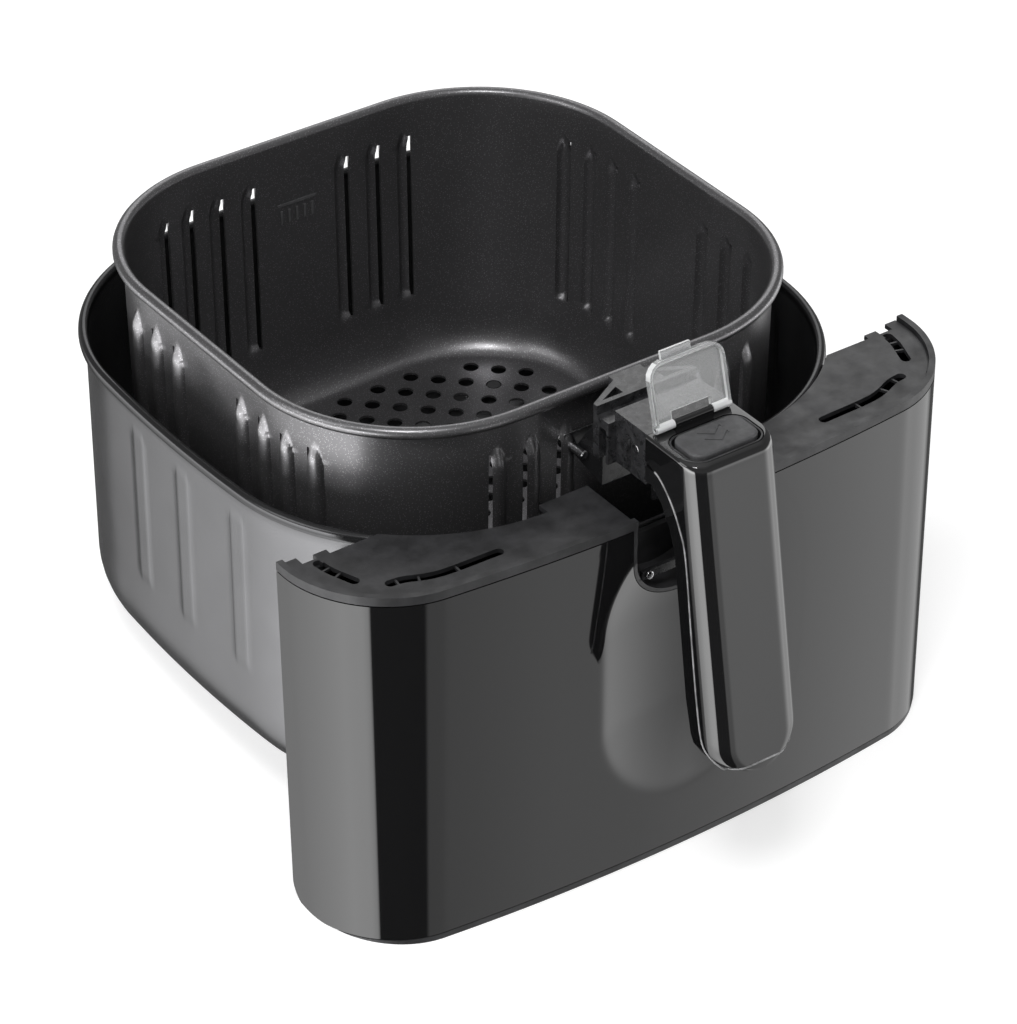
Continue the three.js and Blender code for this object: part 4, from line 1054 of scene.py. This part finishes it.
def build_ledge(context):
    """The matte ledge over the panel, with its raised lip, slots, wings and the notch's liner."""
    settings, pan = context.scene.fryer_front, context.scene.fryer_pan
    low_z, top = PANEL_HIGH[2] + 0.5 * MM, BOX["front_ledge"][1][2]
    high = low_z + 1.8 * MM
    lip_width, groove_end, gap = 2.6 * MM, 3.2 * MM, 0.6 * MM
    outer, inner, beyond = (
        front_curve(settings, [high], inset, EVEN)[0] for inset in (0, lip_width, groove_end)
    )
    outline = pan_outline(pan)
    place, normal = outline.at(AROUND_PAN * outline.length)
    under, over, within = 0.1, 0.15, 0.01
    neck_half, wing_half = 44.5 * MM, 0.133
    neck_room = box_mesh((-neck_half, -FAR, under), (neck_half, RIM_FRONT + 6.3 * MM, over))
    behind = combined(prism_mesh(place + gap * normal, *LEDGE_SPAN), [neck_room])
    gate_half = settings.notch_half - 1.8 * MM
    slots, webs = slot_meshes(low_z, high - 0.7 * MM)
    cuts = [
        behind,
        prism_mesh(np.vstack([inner, beyond[::-1]]), high - 0.5 * MM, top + 1 * MM),
        box_mesh((-gate_half, -FAR, under), (gate_half, within, over)),
        box_mesh((-wing_half, RIM_FRONT + 24.5 * MM, under), (wing_half, within, over)),
        *slots,
    ]
    lip = prism_mesh(np.vstack([outer, inner[::-1]]), low_z, top)
    body = combined(combined(prism_mesh(outer, low_z, high), [lip], "UNION"), cuts)
    liner = liner_mesh(settings, gate_half, high)
    tab_inner, tab_outer = 0.1215, 0.127
    tab_low, tab_high = (RIM_FRONT + 21 * MM, low_z), (RIM_FRONT + 27.1 * MM, high)
    tabs = paired_boxes(tab_inner, tab_outer, tab_low, tab_high)
    body = combined(body, [liner, *tabs, *webs], "UNION")
    piece = shown(context, "front_top_ledge", body, "matte_black", "drawer", ("front_ledge",), sharp=30)
    rounded(piece, 0.35 * MM, angle=50)


def build_trim(context):
    """The trim under the panel: the front curve filled back to the pan."""
    settings, pan = context.scene.fryer_front, context.scene.fryer_pan
    step_back, gap, under, over = 0.3 * MM, 0.6 * MM, -0.05, 0.02
    outer = front_curve(settings, [TRIM_LOW[2]], step_back, EVEN)[0]
    outline = pan_outline(pan)
    place, normal = outline.at(AROUND_PAN * outline.length)
    room = prism_mesh(place - (pan.lip - gap) * normal, under, over)
    body = combined(prism_mesh(outer, TRIM_LOW[2], TRIM_HIGH[2]), [room, heel_mesh(settings)])
    piece = shown(context, "lower_trim", body, "matte_black", "drawer", ("bottom_trim",), sharp=30)
    rounded(piece, 0.6 * MM, angle=50)


# ---------------------------------------------------------------- the grip

COVER_TOP = 131 * MM + LIFT
COVER_FOOT = 9.4 * MM + LIFT
CORNER_STEPS = 14  # points round each corner of the button
GRIP_SCREWS = ("grip_screw_low", "grip_screw_high")


def face_place(settings, height):
    """Where the grip's front face is at a height: it leans out evenly going down."""
    return settings.face - settings.slope * (settings.face_height + LIFT - height)


def parting_line():
    """The line between the grip's shells, as (y, z) rows from the top of the back to the foot of the face."""
    front, top = RIM_FRONT, PAN_HIGH[2]
    points = [
        (front - 20.4 * MM, top - 8 * MM),
        (front - 29.2 * MM, top - 8.6 * MM),
        (front - 37 * MM, top - 14.9 * MM),
        (front - 43.1 * MM, top - 24.2 * MM),
        (front - 47 * MM, top - 34.9 * MM),
        (front - 51.7 * MM, 60.4 * MM),
        (front - 55.8 * MM, 34.2 * MM),
        (front - 59.6 * MM, 18.4 * MM),
        (front - 66.8 * MM, 9.6 * MM),
        (front - 73.2 * MM, 9.4 * MM),
    ]
    return np.array(points) + (0, LIFT)


def half_width(settings, heights, inset=0.0):
    """The grip's half width: even, but for the circles of its lower corners."""
    half, low, radius = COVER_HIGH[0] - inset, COVER_FOOT - 2.6 * MM + inset, settings.low_round - inset
    fall = np.clip(low + radius - heights, 0, radius)
    return half - (radius - np.sqrt(np.maximum(radius**2 - fall**2, 0)))


def grip_rings(settings, heights, back, inset=0.0):
    """Closed level sections of the grip: back edge, side, round edge, face, and back round the other side.

    The half width follows a circle near the foot and near the top. The face follows the top's own circle.
    """
    top = COVER_TOP - inset
    width = half_width(settings, heights, inset)
    side_round = max(settings.side_round - inset, 0.05 * MM)
    rise = np.clip(heights - (top - side_round), 0, side_round)
    width = width - (side_round - np.sqrt(side_round**2 - rise**2))
    top_round = max(settings.top_round - inset, 0.1 * MM)
    rise = np.clip(heights - (top - top_round), 0, top_round)
    face = face_place(settings, np.minimum(heights, top - top_round)) + inset
    face = face + top_round - np.sqrt(np.maximum(top_round**2 - rise**2, 0))
    bend = np.minimum(settings.front_round - inset, width - 0.5 * MM)
    centre = face + bend
    start = np.where(back >= centre, math.pi, math.pi + np.arcsin(np.clip((centre - back) / bend, 0, 1)))
    share = np.linspace(0, 1, 21)[None]
    turn = start[:, None] + (1.5 * math.pi - start[:, None]) * share
    corner_x = -(width - bend)[:, None] + bend[:, None] * np.cos(turn)
    corner_y = centre[:, None] + bend[:, None] * np.sin(turn)
    run = np.linspace(0, 1, 7)[None, :-1]
    side_y = back[:, None] + (corner_y[:, :1] - back[:, None]) * run
    side_x = np.broadcast_to(corner_x[:, :1], side_y.shape)
    face_x = corner_x[:, -1:] * np.linspace(1, -1, 15)[None, 1:-1]
    face_y = np.broadcast_to(corner_y[:, -1:], face_x.shape)
    x = np.hstack([side_x, corner_x, face_x, -corner_x[:, ::-1], -side_x[:, ::-1]])
    y = np.hstack([side_y, corner_y, face_y, corner_y[:, ::-1], side_y[:, ::-1]])
    return np.dstack([x, y, np.broadcast_to(heights[:, None], x.shape)])


def back_limit(heights):
    """How far back the front shell reaches at each height: to the parting line, or to the shell's back."""
    line = parting_line()[::-1]
    return np.minimum(np.interp(heights, line[:, 1], line[:, 0]), RIM_FRONT - 22.4 * MM)


def button_plan(settings, grow):
    """The button's plan outline, a rectangle with round corners, grown on every side."""
    low, high = BUTTON_LOW - grow, BUTTON_HIGH + grow
    radius = settings.button_corner + grow
    right, back, left, front = high[0] - radius, high[1] - radius, low[0] + radius, low[1] + radius
    corners = ((right, back), 0), ((left, back), 90), ((left, front), 180), ((right, front), 270)
    return np.vstack([
        arc_points(centre, radius, start, start + 90, CORNER_STEPS)
        for centre, start in corners
    ])


def grip_screw_holes(radius, reach):
    """Round bars at the grip's two screws, along their own line."""
    holes = []
    for name in GRIP_SCREWS:
        low, high = BOX[name]
        centre = (0, (low[2] + high[2]) / 2)
        holes.append(rod_mesh(centre, radius, low[1] - reach, high[1] + reach, sides=24))
    return holes


def build_cover(context):
    """The grip's glossy front shell: level sections loft up to a rounded crown, hollowed from behind."""
    settings = context.scene.fryer_grip
    top, foot = COVER_TOP, COVER_FOOT
    bends = parting_line()[:, 1]
    crown = top - settings.side_round * (1 - np.sin(np.linspace(0, math.pi / 2, 6)))
    shoulder = top - settings.top_round * (1 - np.sin(np.linspace(0, math.pi / 2, 8)))
    toe = foot + np.linspace(0.2, 9, 10) * MM
    heights = filled(np.concatenate([bends[1:-1], crown, shoulder, toe]), 2.5 * MM)
    solid = grip_rings(settings, heights, back_limit(heights))
    solid = tidied(surface("cover", solid, close_columns=True, end_caps=True))
    wall = 2 * MM
    inner_heights = heights[(heights > foot + wall) & (heights < top - wall)]
    inner_heights = np.r_[foot + wall, inner_heights, top - wall]
    inner_back = back_limit(inner_heights) + 14 * MM
    hollow = grip_rings(settings, inner_heights, inner_back, wall)
    hollow = tidied(surface("hollow", hollow, close_columns=True, end_caps=True))
    well = prism_mesh(button_plan(settings, settings.well), top - 2 * wall, top + wall)
    low, high = BOX["guard_pin"]
    pin = (low[1] + high[1]) / 2, (low[2] + high[2]) / 2
    half, thick, bore_radius = 8.2 * MM, 1.7 * MM, 0.85 * MM
    barrel = rod_mesh(pin, thick, -half, half, axis=0, sides=40)
    stand = box_mesh((-half, pin[0] - thick, top - wall / 2), (half, pin[0] + 1.4 * MM, pin[1]))
    bosses = []
    for name in GRIP_SCREWS:
        start, end = BOX[name]
        level = (start[2] + end[2]) / 2
        face, back = face_place(settings, level) + 1 * MM, end[1] - 4.6 * MM
        bosses.append(rod_mesh((0, level), 3.4 * MM, face, back))
    body = combined(solid, [hollow, well])
    body = combined(body, [barrel, stand, *bosses], "UNION")
    bore = rod_mesh(pin, bore_radius, -30 * MM, 30 * MM, axis=0, sides=20)
    body = combined(body, [*grip_screw_holes(2 * MM, 0), bore])
    piece = shown(context, "grip_front_shell", body, "gloss_black", "basket", ("handle_cover",), sharp=28)
    rounded(piece, 0.6 * MM, angle=40)


def build_back_shell(context):
    """The grip's back shell, from its packed solid cut to the grip's own round outline."""
    settings = context.scene.fryer_grip
    slack = -0.03 * MM
    heights = filled(np.r_[COVER_FOOT + np.linspace(-2.5, 10, 16) * MM, COVER_TOP - 6 * MM], 3 * MM)
    room = grip_rings(settings, heights, np.full(len(heights), RIM_FRONT), slack)
    room = tidied(surface("room", room, close_columns=True, end_caps=True))
    mesh = combined(tidied(solid_copy("handle_back")), [room], "INTERSECT")
    piece = shown(context, "grip_back_shell", mesh, "gloss_black", "basket", ("handle_back",), sharp=25)
    rounded(piece, 0.35 * MM)


def build_seam(context):
    """The pale seam between the grip's shells: a thin round line down each side and round the foot."""
    settings = context.scene.fryer_grip
    line = smooth_path(parting_line()[:-1], 8)[7:]
    side = np.c_[half_width(settings, line[:, 1]), line]
    foot = grip_rings(settings, line[-1:, 1], line[-1:, 0])[0]
    path = np.vstack([side * (-1, 1, 1), foot[1:-1], side[::-1]])
    apart = np.linalg.norm(np.diff(path, axis=0), axis=1)
    path = path[np.r_[True, apart > 0.1 * MM]]
    along = np.gradient(path, axis=0)
    along /= np.linalg.norm(along, axis=1)[:, None]
    inward = np.array([0, settings.back + 10 * MM, COVER_FOOT + 40 * MM]) - path
    first = np.cross(along, inward)
    first /= np.linalg.norm(first, axis=1)[:, None]
    second = np.cross(along, first)
    turn = np.linspace(0, 2 * math.pi, 9)[:-1]
    rings = np.cos(turn)[None, :, None] * first[:, None] + np.sin(turn)[None, :, None] * second[:, None]
    tube = tidied(surface("seam", path[:, None] + settings.seam * rings, close_columns=True, end_caps=True))
    shown(context, "grip_seam", tube, "seam_highlight_grey", "basket")


def build_neck(context):
    """The neck, from its packed solid, with an upright rib and groove on each side and softened edges."""
    foot, top = (corner[2] for corner in BOX["handle_arm"])
    rib_front, rib_back = -138.8 * MM, -137.2 * MM
    groove_front, groove_back = -128.6 * MM, -124.6 * MM
    ribs = paired_boxes(17 * MM, 20.5 * MM, (rib_front, foot + 3 * MM), (rib_back, top - 6 * MM))
    grooves = paired_boxes(
        18.5 * MM, 26 * MM, (groove_front, foot - 5 * MM), (groove_back, top - 7.5 * MM)
    )
    body = combined(combined(tidied(solid_copy("handle_arm")), grooves), ribs, "UNION")
    piece = shown(context, "basket_neck", body, "neck_black", "basket", ("handle_arm",), sharp=30)
    rounded(piece, 0.4 * MM)


def mark_meshes(settings, top):
    """Two plain chevrons, as cutters for the button's top."""
    size, depth = settings.mark / 2, 0.25 * MM
    end, point, stroke = 0.45 * size, 0.35 * size, 0.33 * size
    middle = (BUTTON_LOW[1] + BUTTON_HIGH[1]) / 2
    meshes = []
    for shift in (-0.35, 0.55):
        base = middle + shift * size
        points = [(-size, base + end), (0, base - point), (size, base + end)]
        under = [(x, y - stroke) for x, y in points[::-1]]
        meshes.append(prism_mesh(np.array(points + under), top - depth, top + 1 * MM))
    return meshes


def build_button(context):
    """The release button: a pad with a rolled top edge, a stem and a plain pressed mark."""
    settings = context.scene.fryer_grip
    top, thick, edge = BUTTON_HIGH[2], 3.4 * MM, settings.button_round
    turn = np.linspace(0, math.pi / 2, 7)
    levels = np.r_[0, 0.4 * MM, thick - edge + edge * np.sin(turn)] + top - thick
    insets = np.r_[0.3 * MM, 0, edge * (1 - np.cos(turn))]
    rings = np.stack([
        np.c_[button_plan(settings, -inset), np.full(4 * CORNER_STEPS, level)]
        for inset, level in zip(insets, levels)
    ])
    pad = tidied(surface("pad", rings, close_columns=True, end_caps=True))
    middle = 0, (BUTTON_LOW[1] + BUTTON_HIGH[1]) / 2
    stem = rod_mesh(middle, 2 * MM, BUTTON_LOW[2], top - thick / 2, axis=2)
    body = combined(pad, [stem], "UNION")
    body = combined(body, mark_meshes(settings, top))
    shown(context, "release_button", body, "button_grey", "button", ("button",), sharp=30)
    build_surround(context, settings, middle)
    dressed(context, "button_spring", "steel", "button")


def build_surround(context, settings, middle):
    """The button's surround: a rim round a tray, with a gap in the tray for the spring."""
    low, high = BOX["button_bezel"]
    grow, rim, tray = settings.well - 0.3 * MM, 0.9 * MM, 1.2 * MM
    outer = prism_mesh(button_plan(settings, grow), low[2], high[2])
    room = prism_mesh(button_plan(settings, grow - rim), low[2] + tray, high[2] + 2 * MM)
    spring_low, spring_high = BOX["button_spring"]
    coil = (spring_high[0] - spring_low[0]) / 2
    gap = rod_mesh(middle, coil + 0.4 * MM, low[2] - 2 * MM, high[2], axis=2)
    mesh = combined(outer, [room, gap])
    piece = shown(context, "button_surround", mesh, "matte_black", "basket", ("button_bezel",), sharp=30)
    rounded(piece, 0.25 * MM)


def dressed(context, name, finish, body):
    """A packed node made a finished piece: merged, smoothed, and given a finish on its body."""
    return shown(context, f"{name}_finished", solid_copy(name), finish, body, (name,), sharp=35)


def build_guard(context):
    """The clear guard, from its packed solid, with a softened rim."""
    mesh = solid_copy("button_guard")
    mark_cut_edges(mesh)
    piece = shown(context, "clear_guard", mesh, "clear_plastic", "guard", ("button_guard",), sharp=30)
    rounded(piece, 0.5 * MM)


def lathe_mesh(name, profile, centre, axis, sides):
    """Rows of (radius, place) turned about a line through a centre: centre + radius (cos a, sin a)."""
    radius, place = profile[:, :1], profile[:, 1:2]
    turn = np.linspace(0, 2 * math.pi, sides + 1)[:-1][None]
    first, second = np.delete(centre, axis)
    coordinates = [first + radius * np.cos(turn), second + radius * np.sin(turn)]
    coordinates.insert(axis, np.broadcast_to(place, coordinates[0].shape))
    return tidied(surface(name, np.dstack(coordinates), close_columns=True))


def rolled_edge(radius, edge, steps):
    """A quarter circle from a flat end out to a side, as (radius, place) rows."""
    turn = np.linspace(0, math.pi / 2, steps)
    return np.c_[radius - edge * (1 - np.sin(turn)), edge * (1 - np.cos(turn))]


def turned(name):
    """A headed fastener along Y, from its packed box: a domed head, and a shank with a rounded tip."""
    low, high = BOX[name]
    head, reach = (high[0] - low[0]) / 2, high[1] - low[1]
    shank, deep = (1 * MM, 0.8 * MM) if head < 2 * MM else (1.7 * MM, 1.4 * MM)
    if "rivet" in name:
        deep = 1 * MM
    tip = [(shank, reach - 0.5 * MM), (shank - 0.35 * MM, reach - 0.1 * MM), (0, reach)]
    profile = np.vstack([(0, 0), rolled_edge(head, 0.5 * deep, 6), (head, deep), (shank, deep), *tip])
    if name.startswith("catch_screw"):
        profile[:, 1] = low[1] + profile[:, 1]
    else:
        profile[:, 1] = high[1] - profile[:, 1]
    return lathe_mesh(name, profile, (low + high) / 2, 1, 32)


DRAWER_SCREWS = [name for name in BOX if name.startswith(("pan_screw", "catch_screw"))]
BASKET_SCREWS = [name for name in BOX if name.startswith(("bracket_rivet", "neck_screw", "grip_screw"))]


def mark_cut_edges(mesh, widest=1.7 * MM):
    """Marks the faces no wider than a sheet is thick: those whose area is small for their length."""
    marks = mesh.attributes.new(CUT_EDGE, "FLOAT", "FACE")
    corners = [np.array([mesh.vertices[index].co for index in face.vertices]) for face in mesh.polygons]
    spans = np.array([np.linalg.norm(points.max(0) - points.min(0)) for points in corners])
    areas = np.array([face.area for face in mesh.polygons])
    marks.data.foreach_set("value", (areas < widest * spans).astype(np.float32))


def build_steel(context):
    """The steel parts: screws and rivets turned from their boxes, and the pressed parts with soft edges."""
    for body, names in (("drawer", DRAWER_SCREWS), ("basket", BASKET_SCREWS)):
        for name in names:
            shown(context, f"{name}_turned", turned(name), "steel", body, (name,), sharp=35)
    for name, finish, body, width in (
        ("catch_bar", "coated_sheet", "drawer", 0.2),
        ("handle_bracket", "coated_sheet", "basket", 0.2),
        ("latch", "coated_sheet", "latch", 0.2),
        ("latch_pin", "steel", "basket", 0.2),
        ("guard_pin", "steel", "basket", 0.1),
    ):
        piece = dressed(context, name, finish, body)
        if name != "catch_bar":
            mark_cut_edges(piece.data)
        rounded(piece, width * MM)


def build_inner(context):
    """The inner housing behind the panel, from its packed solid."""
    rounded(dressed(context, "front_frame", "matte_black", "drawer"), 0.3 * MM)


def build_feet(context):
    """The silicone feet: a disc with a domed edge and a stem, turned about an upright line."""
    stem, edge = 2.6 * MM, 1.4 * MM
    for name in (name for name in BOX if name.startswith("foot_")):
        low, high = BOX[name]
        centre, radius = (low + high) / 2, (high[0] - low[0]) / 2
        shoulder = high[2] - 1.3 * MM
        sole = rolled_edge(radius, edge, 7) + (0, low[2])
        rim = [(radius, shoulder - 0.5 * MM), (radius - 0.4 * MM, shoulder)]
        plug = [(stem, shoulder), (stem, high[2]), (0, high[2])]
        profile = np.vstack([(0, low[2]), sole, *rim, *plug])
        mesh = lathe_mesh(name, profile, centre, 2, 40)
        shown(context, f"{name}_silicone", mesh, "silicone", "basket", (name,), sharp=35)


# ---------------------------------------------------------------- the studio

AIM = Vector((-0.4766, -0.6719, 0.5669))  # from the object towards the camera
EYE = Vector((-0.79213, -1.15472, 1.00538))
RIGHT = Vector((0.8156, -0.5786, 0))


def lamp(context, name, place, size, power):
    """A soft square lamp at a place, turned to the object."""
    target = Vector((0, 0, 0.05))
    data = bpy.data.lights.new(name, "AREA")
    data.energy, data.shape, data.size = power, "SQUARE", size
    item = bpy.data.objects.new(name, data)
    item.location = place
    item.rotation_euler = (target - Vector(place)).to_track_quat("-Z", "Y").to_euler()
    context.scene.collection.objects.link(item)


# How bright the surroundings look in a reflection, by compass angle in degrees, for rays that dip.
AROUND = (
    (0, 1.1), (12, 1.0), (24, 0.12), (104, 0.12), (121, 1.0), (126, 1.1), (157, 1.95), (191, 2.9), (210, 2.9),
    (216, 2.4), (218, 0.05), (268, 0.05), (272, 0.5), (289, 0.5), (299, 0.75), (305, 0.75), (310, 0.85),
    (316, 1.05), (322, 1.3), (333, 1.65), (345, 1.3), (360, 1.1),
)
# How that changes with the ray's upward part, from straight down to straight up. A ray that rises has
# this part alone.
UPWARD = (
    (-1, 0.8), (-0.57, 1.0), (-0.31, 1.65), (-0.19, 2.7), (-0.05, 2.4), (0.1, 0.3), (0.7, 0.25), (1, 0.6),
)
BRIGHTEST = 3.0


def stops_ramp(nodes, stops, span):
    """A colour ramp through (place, brightness) stops over a span of places."""
    ramp = nodes.new("ShaderNodeValToRGB")
    ramp.color_ramp.interpolation = "LINEAR"
    elements = ramp.color_ramp.elements
    while len(elements) < len(stops):
        elements.new(0.5)
    for element, (place, value) in zip(elements, stops):
        element.position = (place - span[0]) / (span[1] - span[0])
        element.color = (value / BRIGHTEST,) * 3 + (1,)
    return ramp


def maths(tree, operation, *inputs):
    """A math node whose inputs are sockets or numbers. Returns its output."""
    node = tree.nodes.new("ShaderNodeMath")
    node.operation = operation
    for slot_in, value in zip(node.inputs, inputs):
        if isinstance(value, (int, float)):
            slot_in.default_value = value
        else:
            tree.links.new(value, slot_in)
    return node.outputs[0]


def build_world(settings):
    """White where it is seen, even and dim for lighting, and a ring of light and dark in reflections."""
    world = bpy.data.worlds.new("studio")
    bpy.context.scene.world = world
    world.use_nodes = True
    tree = world.node_tree
    nodes, links = tree.nodes, tree.links
    split = nodes.new("ShaderNodeSeparateXYZ")
    links.new(nodes.new("ShaderNodeTexCoord").outputs["Generated"], split.inputs[0])
    x, y, z = split.outputs
    turn = maths(tree, "FRACT", maths(tree, "DIVIDE", maths(tree, "ARCTAN2", y, x), 2 * math.pi))
    ring = stops_ramp(nodes, AROUND, (0, 360))
    links.new(turn, ring.inputs[0])
    rise = stops_ramp(nodes, UPWARD, (-1, 1))
    links.new(maths(tree, "MULTIPLY_ADD", z, 0.5, 0.5), rise.inputs[0])
    dips = nodes.new("ShaderNodeMapRange")
    dips.interpolation_type = "SMOOTHSTEP"
    for key, value in zip(("From Min", "From Max", "To Min", "To Max"), (-0.02, 0.16, 1, 0)):
        dips.inputs[key].default_value = value
    links.new(z, dips.inputs["Value"])
    low = maths(tree, "MULTIPLY", maths(tree, "MULTIPLY", ring.outputs[0], rise.outputs[0]), BRIGHTEST**2)
    high = maths(tree, "MULTIPLY", rise.outputs[0], BRIGHTEST)
    ringed = maths(tree, "MULTIPLY", dips.outputs[0], maths(tree, "SUBTRACT", low, high))
    glossy = maths(tree, "ADD", high, ringed)
    path = nodes.new("ShaderNodeLightPath")
    seen = maths(tree, "MAXIMUM", path.outputs["Is Camera Ray"], path.outputs["Is Transmission Ray"])
    plain = maths(tree, "MULTIPLY_ADD", seen, 1 - settings.ambient, settings.ambient)
    change = maths(tree, "MULTIPLY", path.outputs["Is Glossy Ray"], maths(tree, "SUBTRACT", glossy, plain))
    background = nodes["Background"]
    background.inputs["Color"].default_value = (1, 1, 1, 1)
    links.new(maths(tree, "ADD", plain, change), background.inputs["Strength"])


def build_floor(context, settings):
    """A pale floor that meets the trim's lowest edge and the pan's heel.

    To the camera it adds its own light, so it reads white away from the object and keeps a soft shadow.
    """
    heel, toe = Vector((0, 95 * MM, 0)), Vector((0, -151 * MM, TRIM_LOW[2] - 0.2 * MM))
    slope = math.atan2(heel.z - toe.z, heel.y - toe.y)
    reach, thick = 6.0, 0.02
    corners = np.array([(-reach, -reach), (reach, -reach), (reach, reach), (-reach, reach)])
    mesh = prism_mesh(corners, -thick, 0)
    floor = bpy.data.objects.new("floor", mesh)
    floor.rotation_euler = (slope, 0, 0)
    floor.location = toe
    context.scene.collection.objects.link(floor)
    floor.visible_glossy = False
    material = bpy.data.materials.new("floor")
    material.use_nodes = True
    nodes, links = material.node_tree.nodes, material.node_tree.links
    shader = nodes["Principled BSDF"]
    shader.inputs["Base Color"].default_value = (*settings.floor, 1)
    shader.inputs["Roughness"].default_value = 0.9
    shader.inputs["Specular IOR Level"].default_value = 0
    shader.inputs["Emission Color"].default_value = (1, 1, 1, 1)
    path = nodes.new("ShaderNodeLightPath")
    scale = nodes.new("ShaderNodeMath")
    scale.operation = "MULTIPLY"
    links.new(path.outputs["Is Camera Ray"], scale.inputs[0])
    scale.inputs[1].default_value = settings.floor_glow
    links.new(scale.outputs[0], shader.inputs["Emission Strength"])
    mesh.materials.append(material)


def build_studio(context):
    """The camera at the object's three-quarter view, the floor, the world and three soft lamps."""
    settings = context.scene.fryer_studio
    camera = bpy.data.cameras.new("camera")
    camera.lens, camera.sensor_width = settings.lens, 36
    camera.clip_end = 50
    view = bpy.data.objects.new("camera", camera)
    right, back = RIGHT.normalized(), AIM.normalized()
    up = back.cross(right).normalized()
    turn = Matrix((right, up, back)).transposed()
    view.matrix_world = Matrix.Translation(EYE) @ turn.to_4x4()
    context.scene.collection.objects.link(view)
    context.scene.camera = view
    context.scene.view_settings.view_transform = "Standard"
    build_world(settings)
    build_floor(context, settings)
    lamp(context, "lamp_front", (-0.75, -0.8, 1.9), 0.5, settings.key)
    lamp(context, "lamp_side", (-1.5, 0.2, 1.1), 1.0, settings.side)
    lamp(context, "lamp_rear", (0.94, 1.34, 1.15), 1.2, settings.rear)


# ---------------------------------------------------------------- operators and panel

PIECES = (
    ("studio", "Studio", build_studio),
    ("pan", "Pan", build_pan),
    ("basket", "Basket", build_basket),
    ("fill_mark", "Fill mark", build_fill_mark),
    ("panel", "Front panel", build_panel),
    ("ledge", "Top ledge", build_ledge),
    ("trim", "Lower trim", build_trim),
    ("inner", "Inner housing", build_inner),
    ("cover", "Grip front shell", build_cover),
    ("back_shell", "Grip back shell", build_back_shell),
    ("seam", "Grip seam", build_seam),
    ("neck", "Neck", build_neck),
    ("button", "Release button", build_button),
    ("guard", "Clear guard", build_guard),
    ("steel", "Steel parts", build_steel),
    ("feet", "Feet", build_feet),
)


def operator_class(key, label, build):
    """An operator that builds one piece, and stops with an error if it can't."""

    def execute(self, context):
        """Builds the piece."""
        build(context)
        return {"FINISHED"}

    members = {
        "bl_idname": f"fryer.{key}",
        "bl_label": label,
        "bl_options": {"REGISTER", "UNDO"},
        "__doc__": build.__doc__,
        "execute": execute,
    }
    return type(f"FRYER_OT_{key}", (bpy.types.Operator,), members)


OPERATORS = [operator_class(*piece) for piece in PIECES]
GROUPS = {
    "fryer_studio": FRYER_PG_studio,
    "fryer_pan": FRYER_PG_pan,
    "fryer_basket": FRYER_PG_basket,
    "fryer_front": FRYER_PG_front,
    "fryer_grip": FRYER_PG_grip,
    "fryer_finish": FRYER_PG_finish,
}


class FRYER_PT_panel(bpy.types.Panel):
    """Every size and colour, with a button for each piece."""

    bl_label = "Air Fryer Drawer"
    bl_space_type = "VIEW_3D"
    bl_region_type = "UI"
    bl_category = "Fryer"

    def draw(self, context):
        """Lists each group's properties, then the operators."""
        for name in GROUPS:
            settings = getattr(context.scene, name)
            box = self.layout.box()
            box.label(text=name.split("_")[1].capitalize())
            for field in settings.__annotations__:
                box.prop(settings, field)
        for key, label, _build in PIECES:
            self.layout.operator(f"fryer.{key}", text=label)


def register():
    """Registers the classes and puts the property groups on the scene."""
    for item in (*GROUPS.values(), *OPERATORS, FRYER_PT_panel):
        bpy.utils.register_class(item)
    for name, group in GROUPS.items():
        setattr(bpy.types.Scene, name, PointerProperty(type=group))


def unregister():
    """Takes the property groups off the scene and unregisters the classes."""
    for name in GROUPS:
        delattr(bpy.types.Scene, name)
    for item in (FRYER_PT_panel, *reversed(OPERATORS), *reversed(list(GROUPS.values()))):
        bpy.utils.unregister_class(item)


def main():
    """Registers the add-on, builds every piece, and writes both sizes."""
    register()
    for key, _label, _build in PIECES:
        getattr(bpy.ops.fryer, key)()
    bpy.context.view_layer.update()


if __name__ == "__main__":
    main()
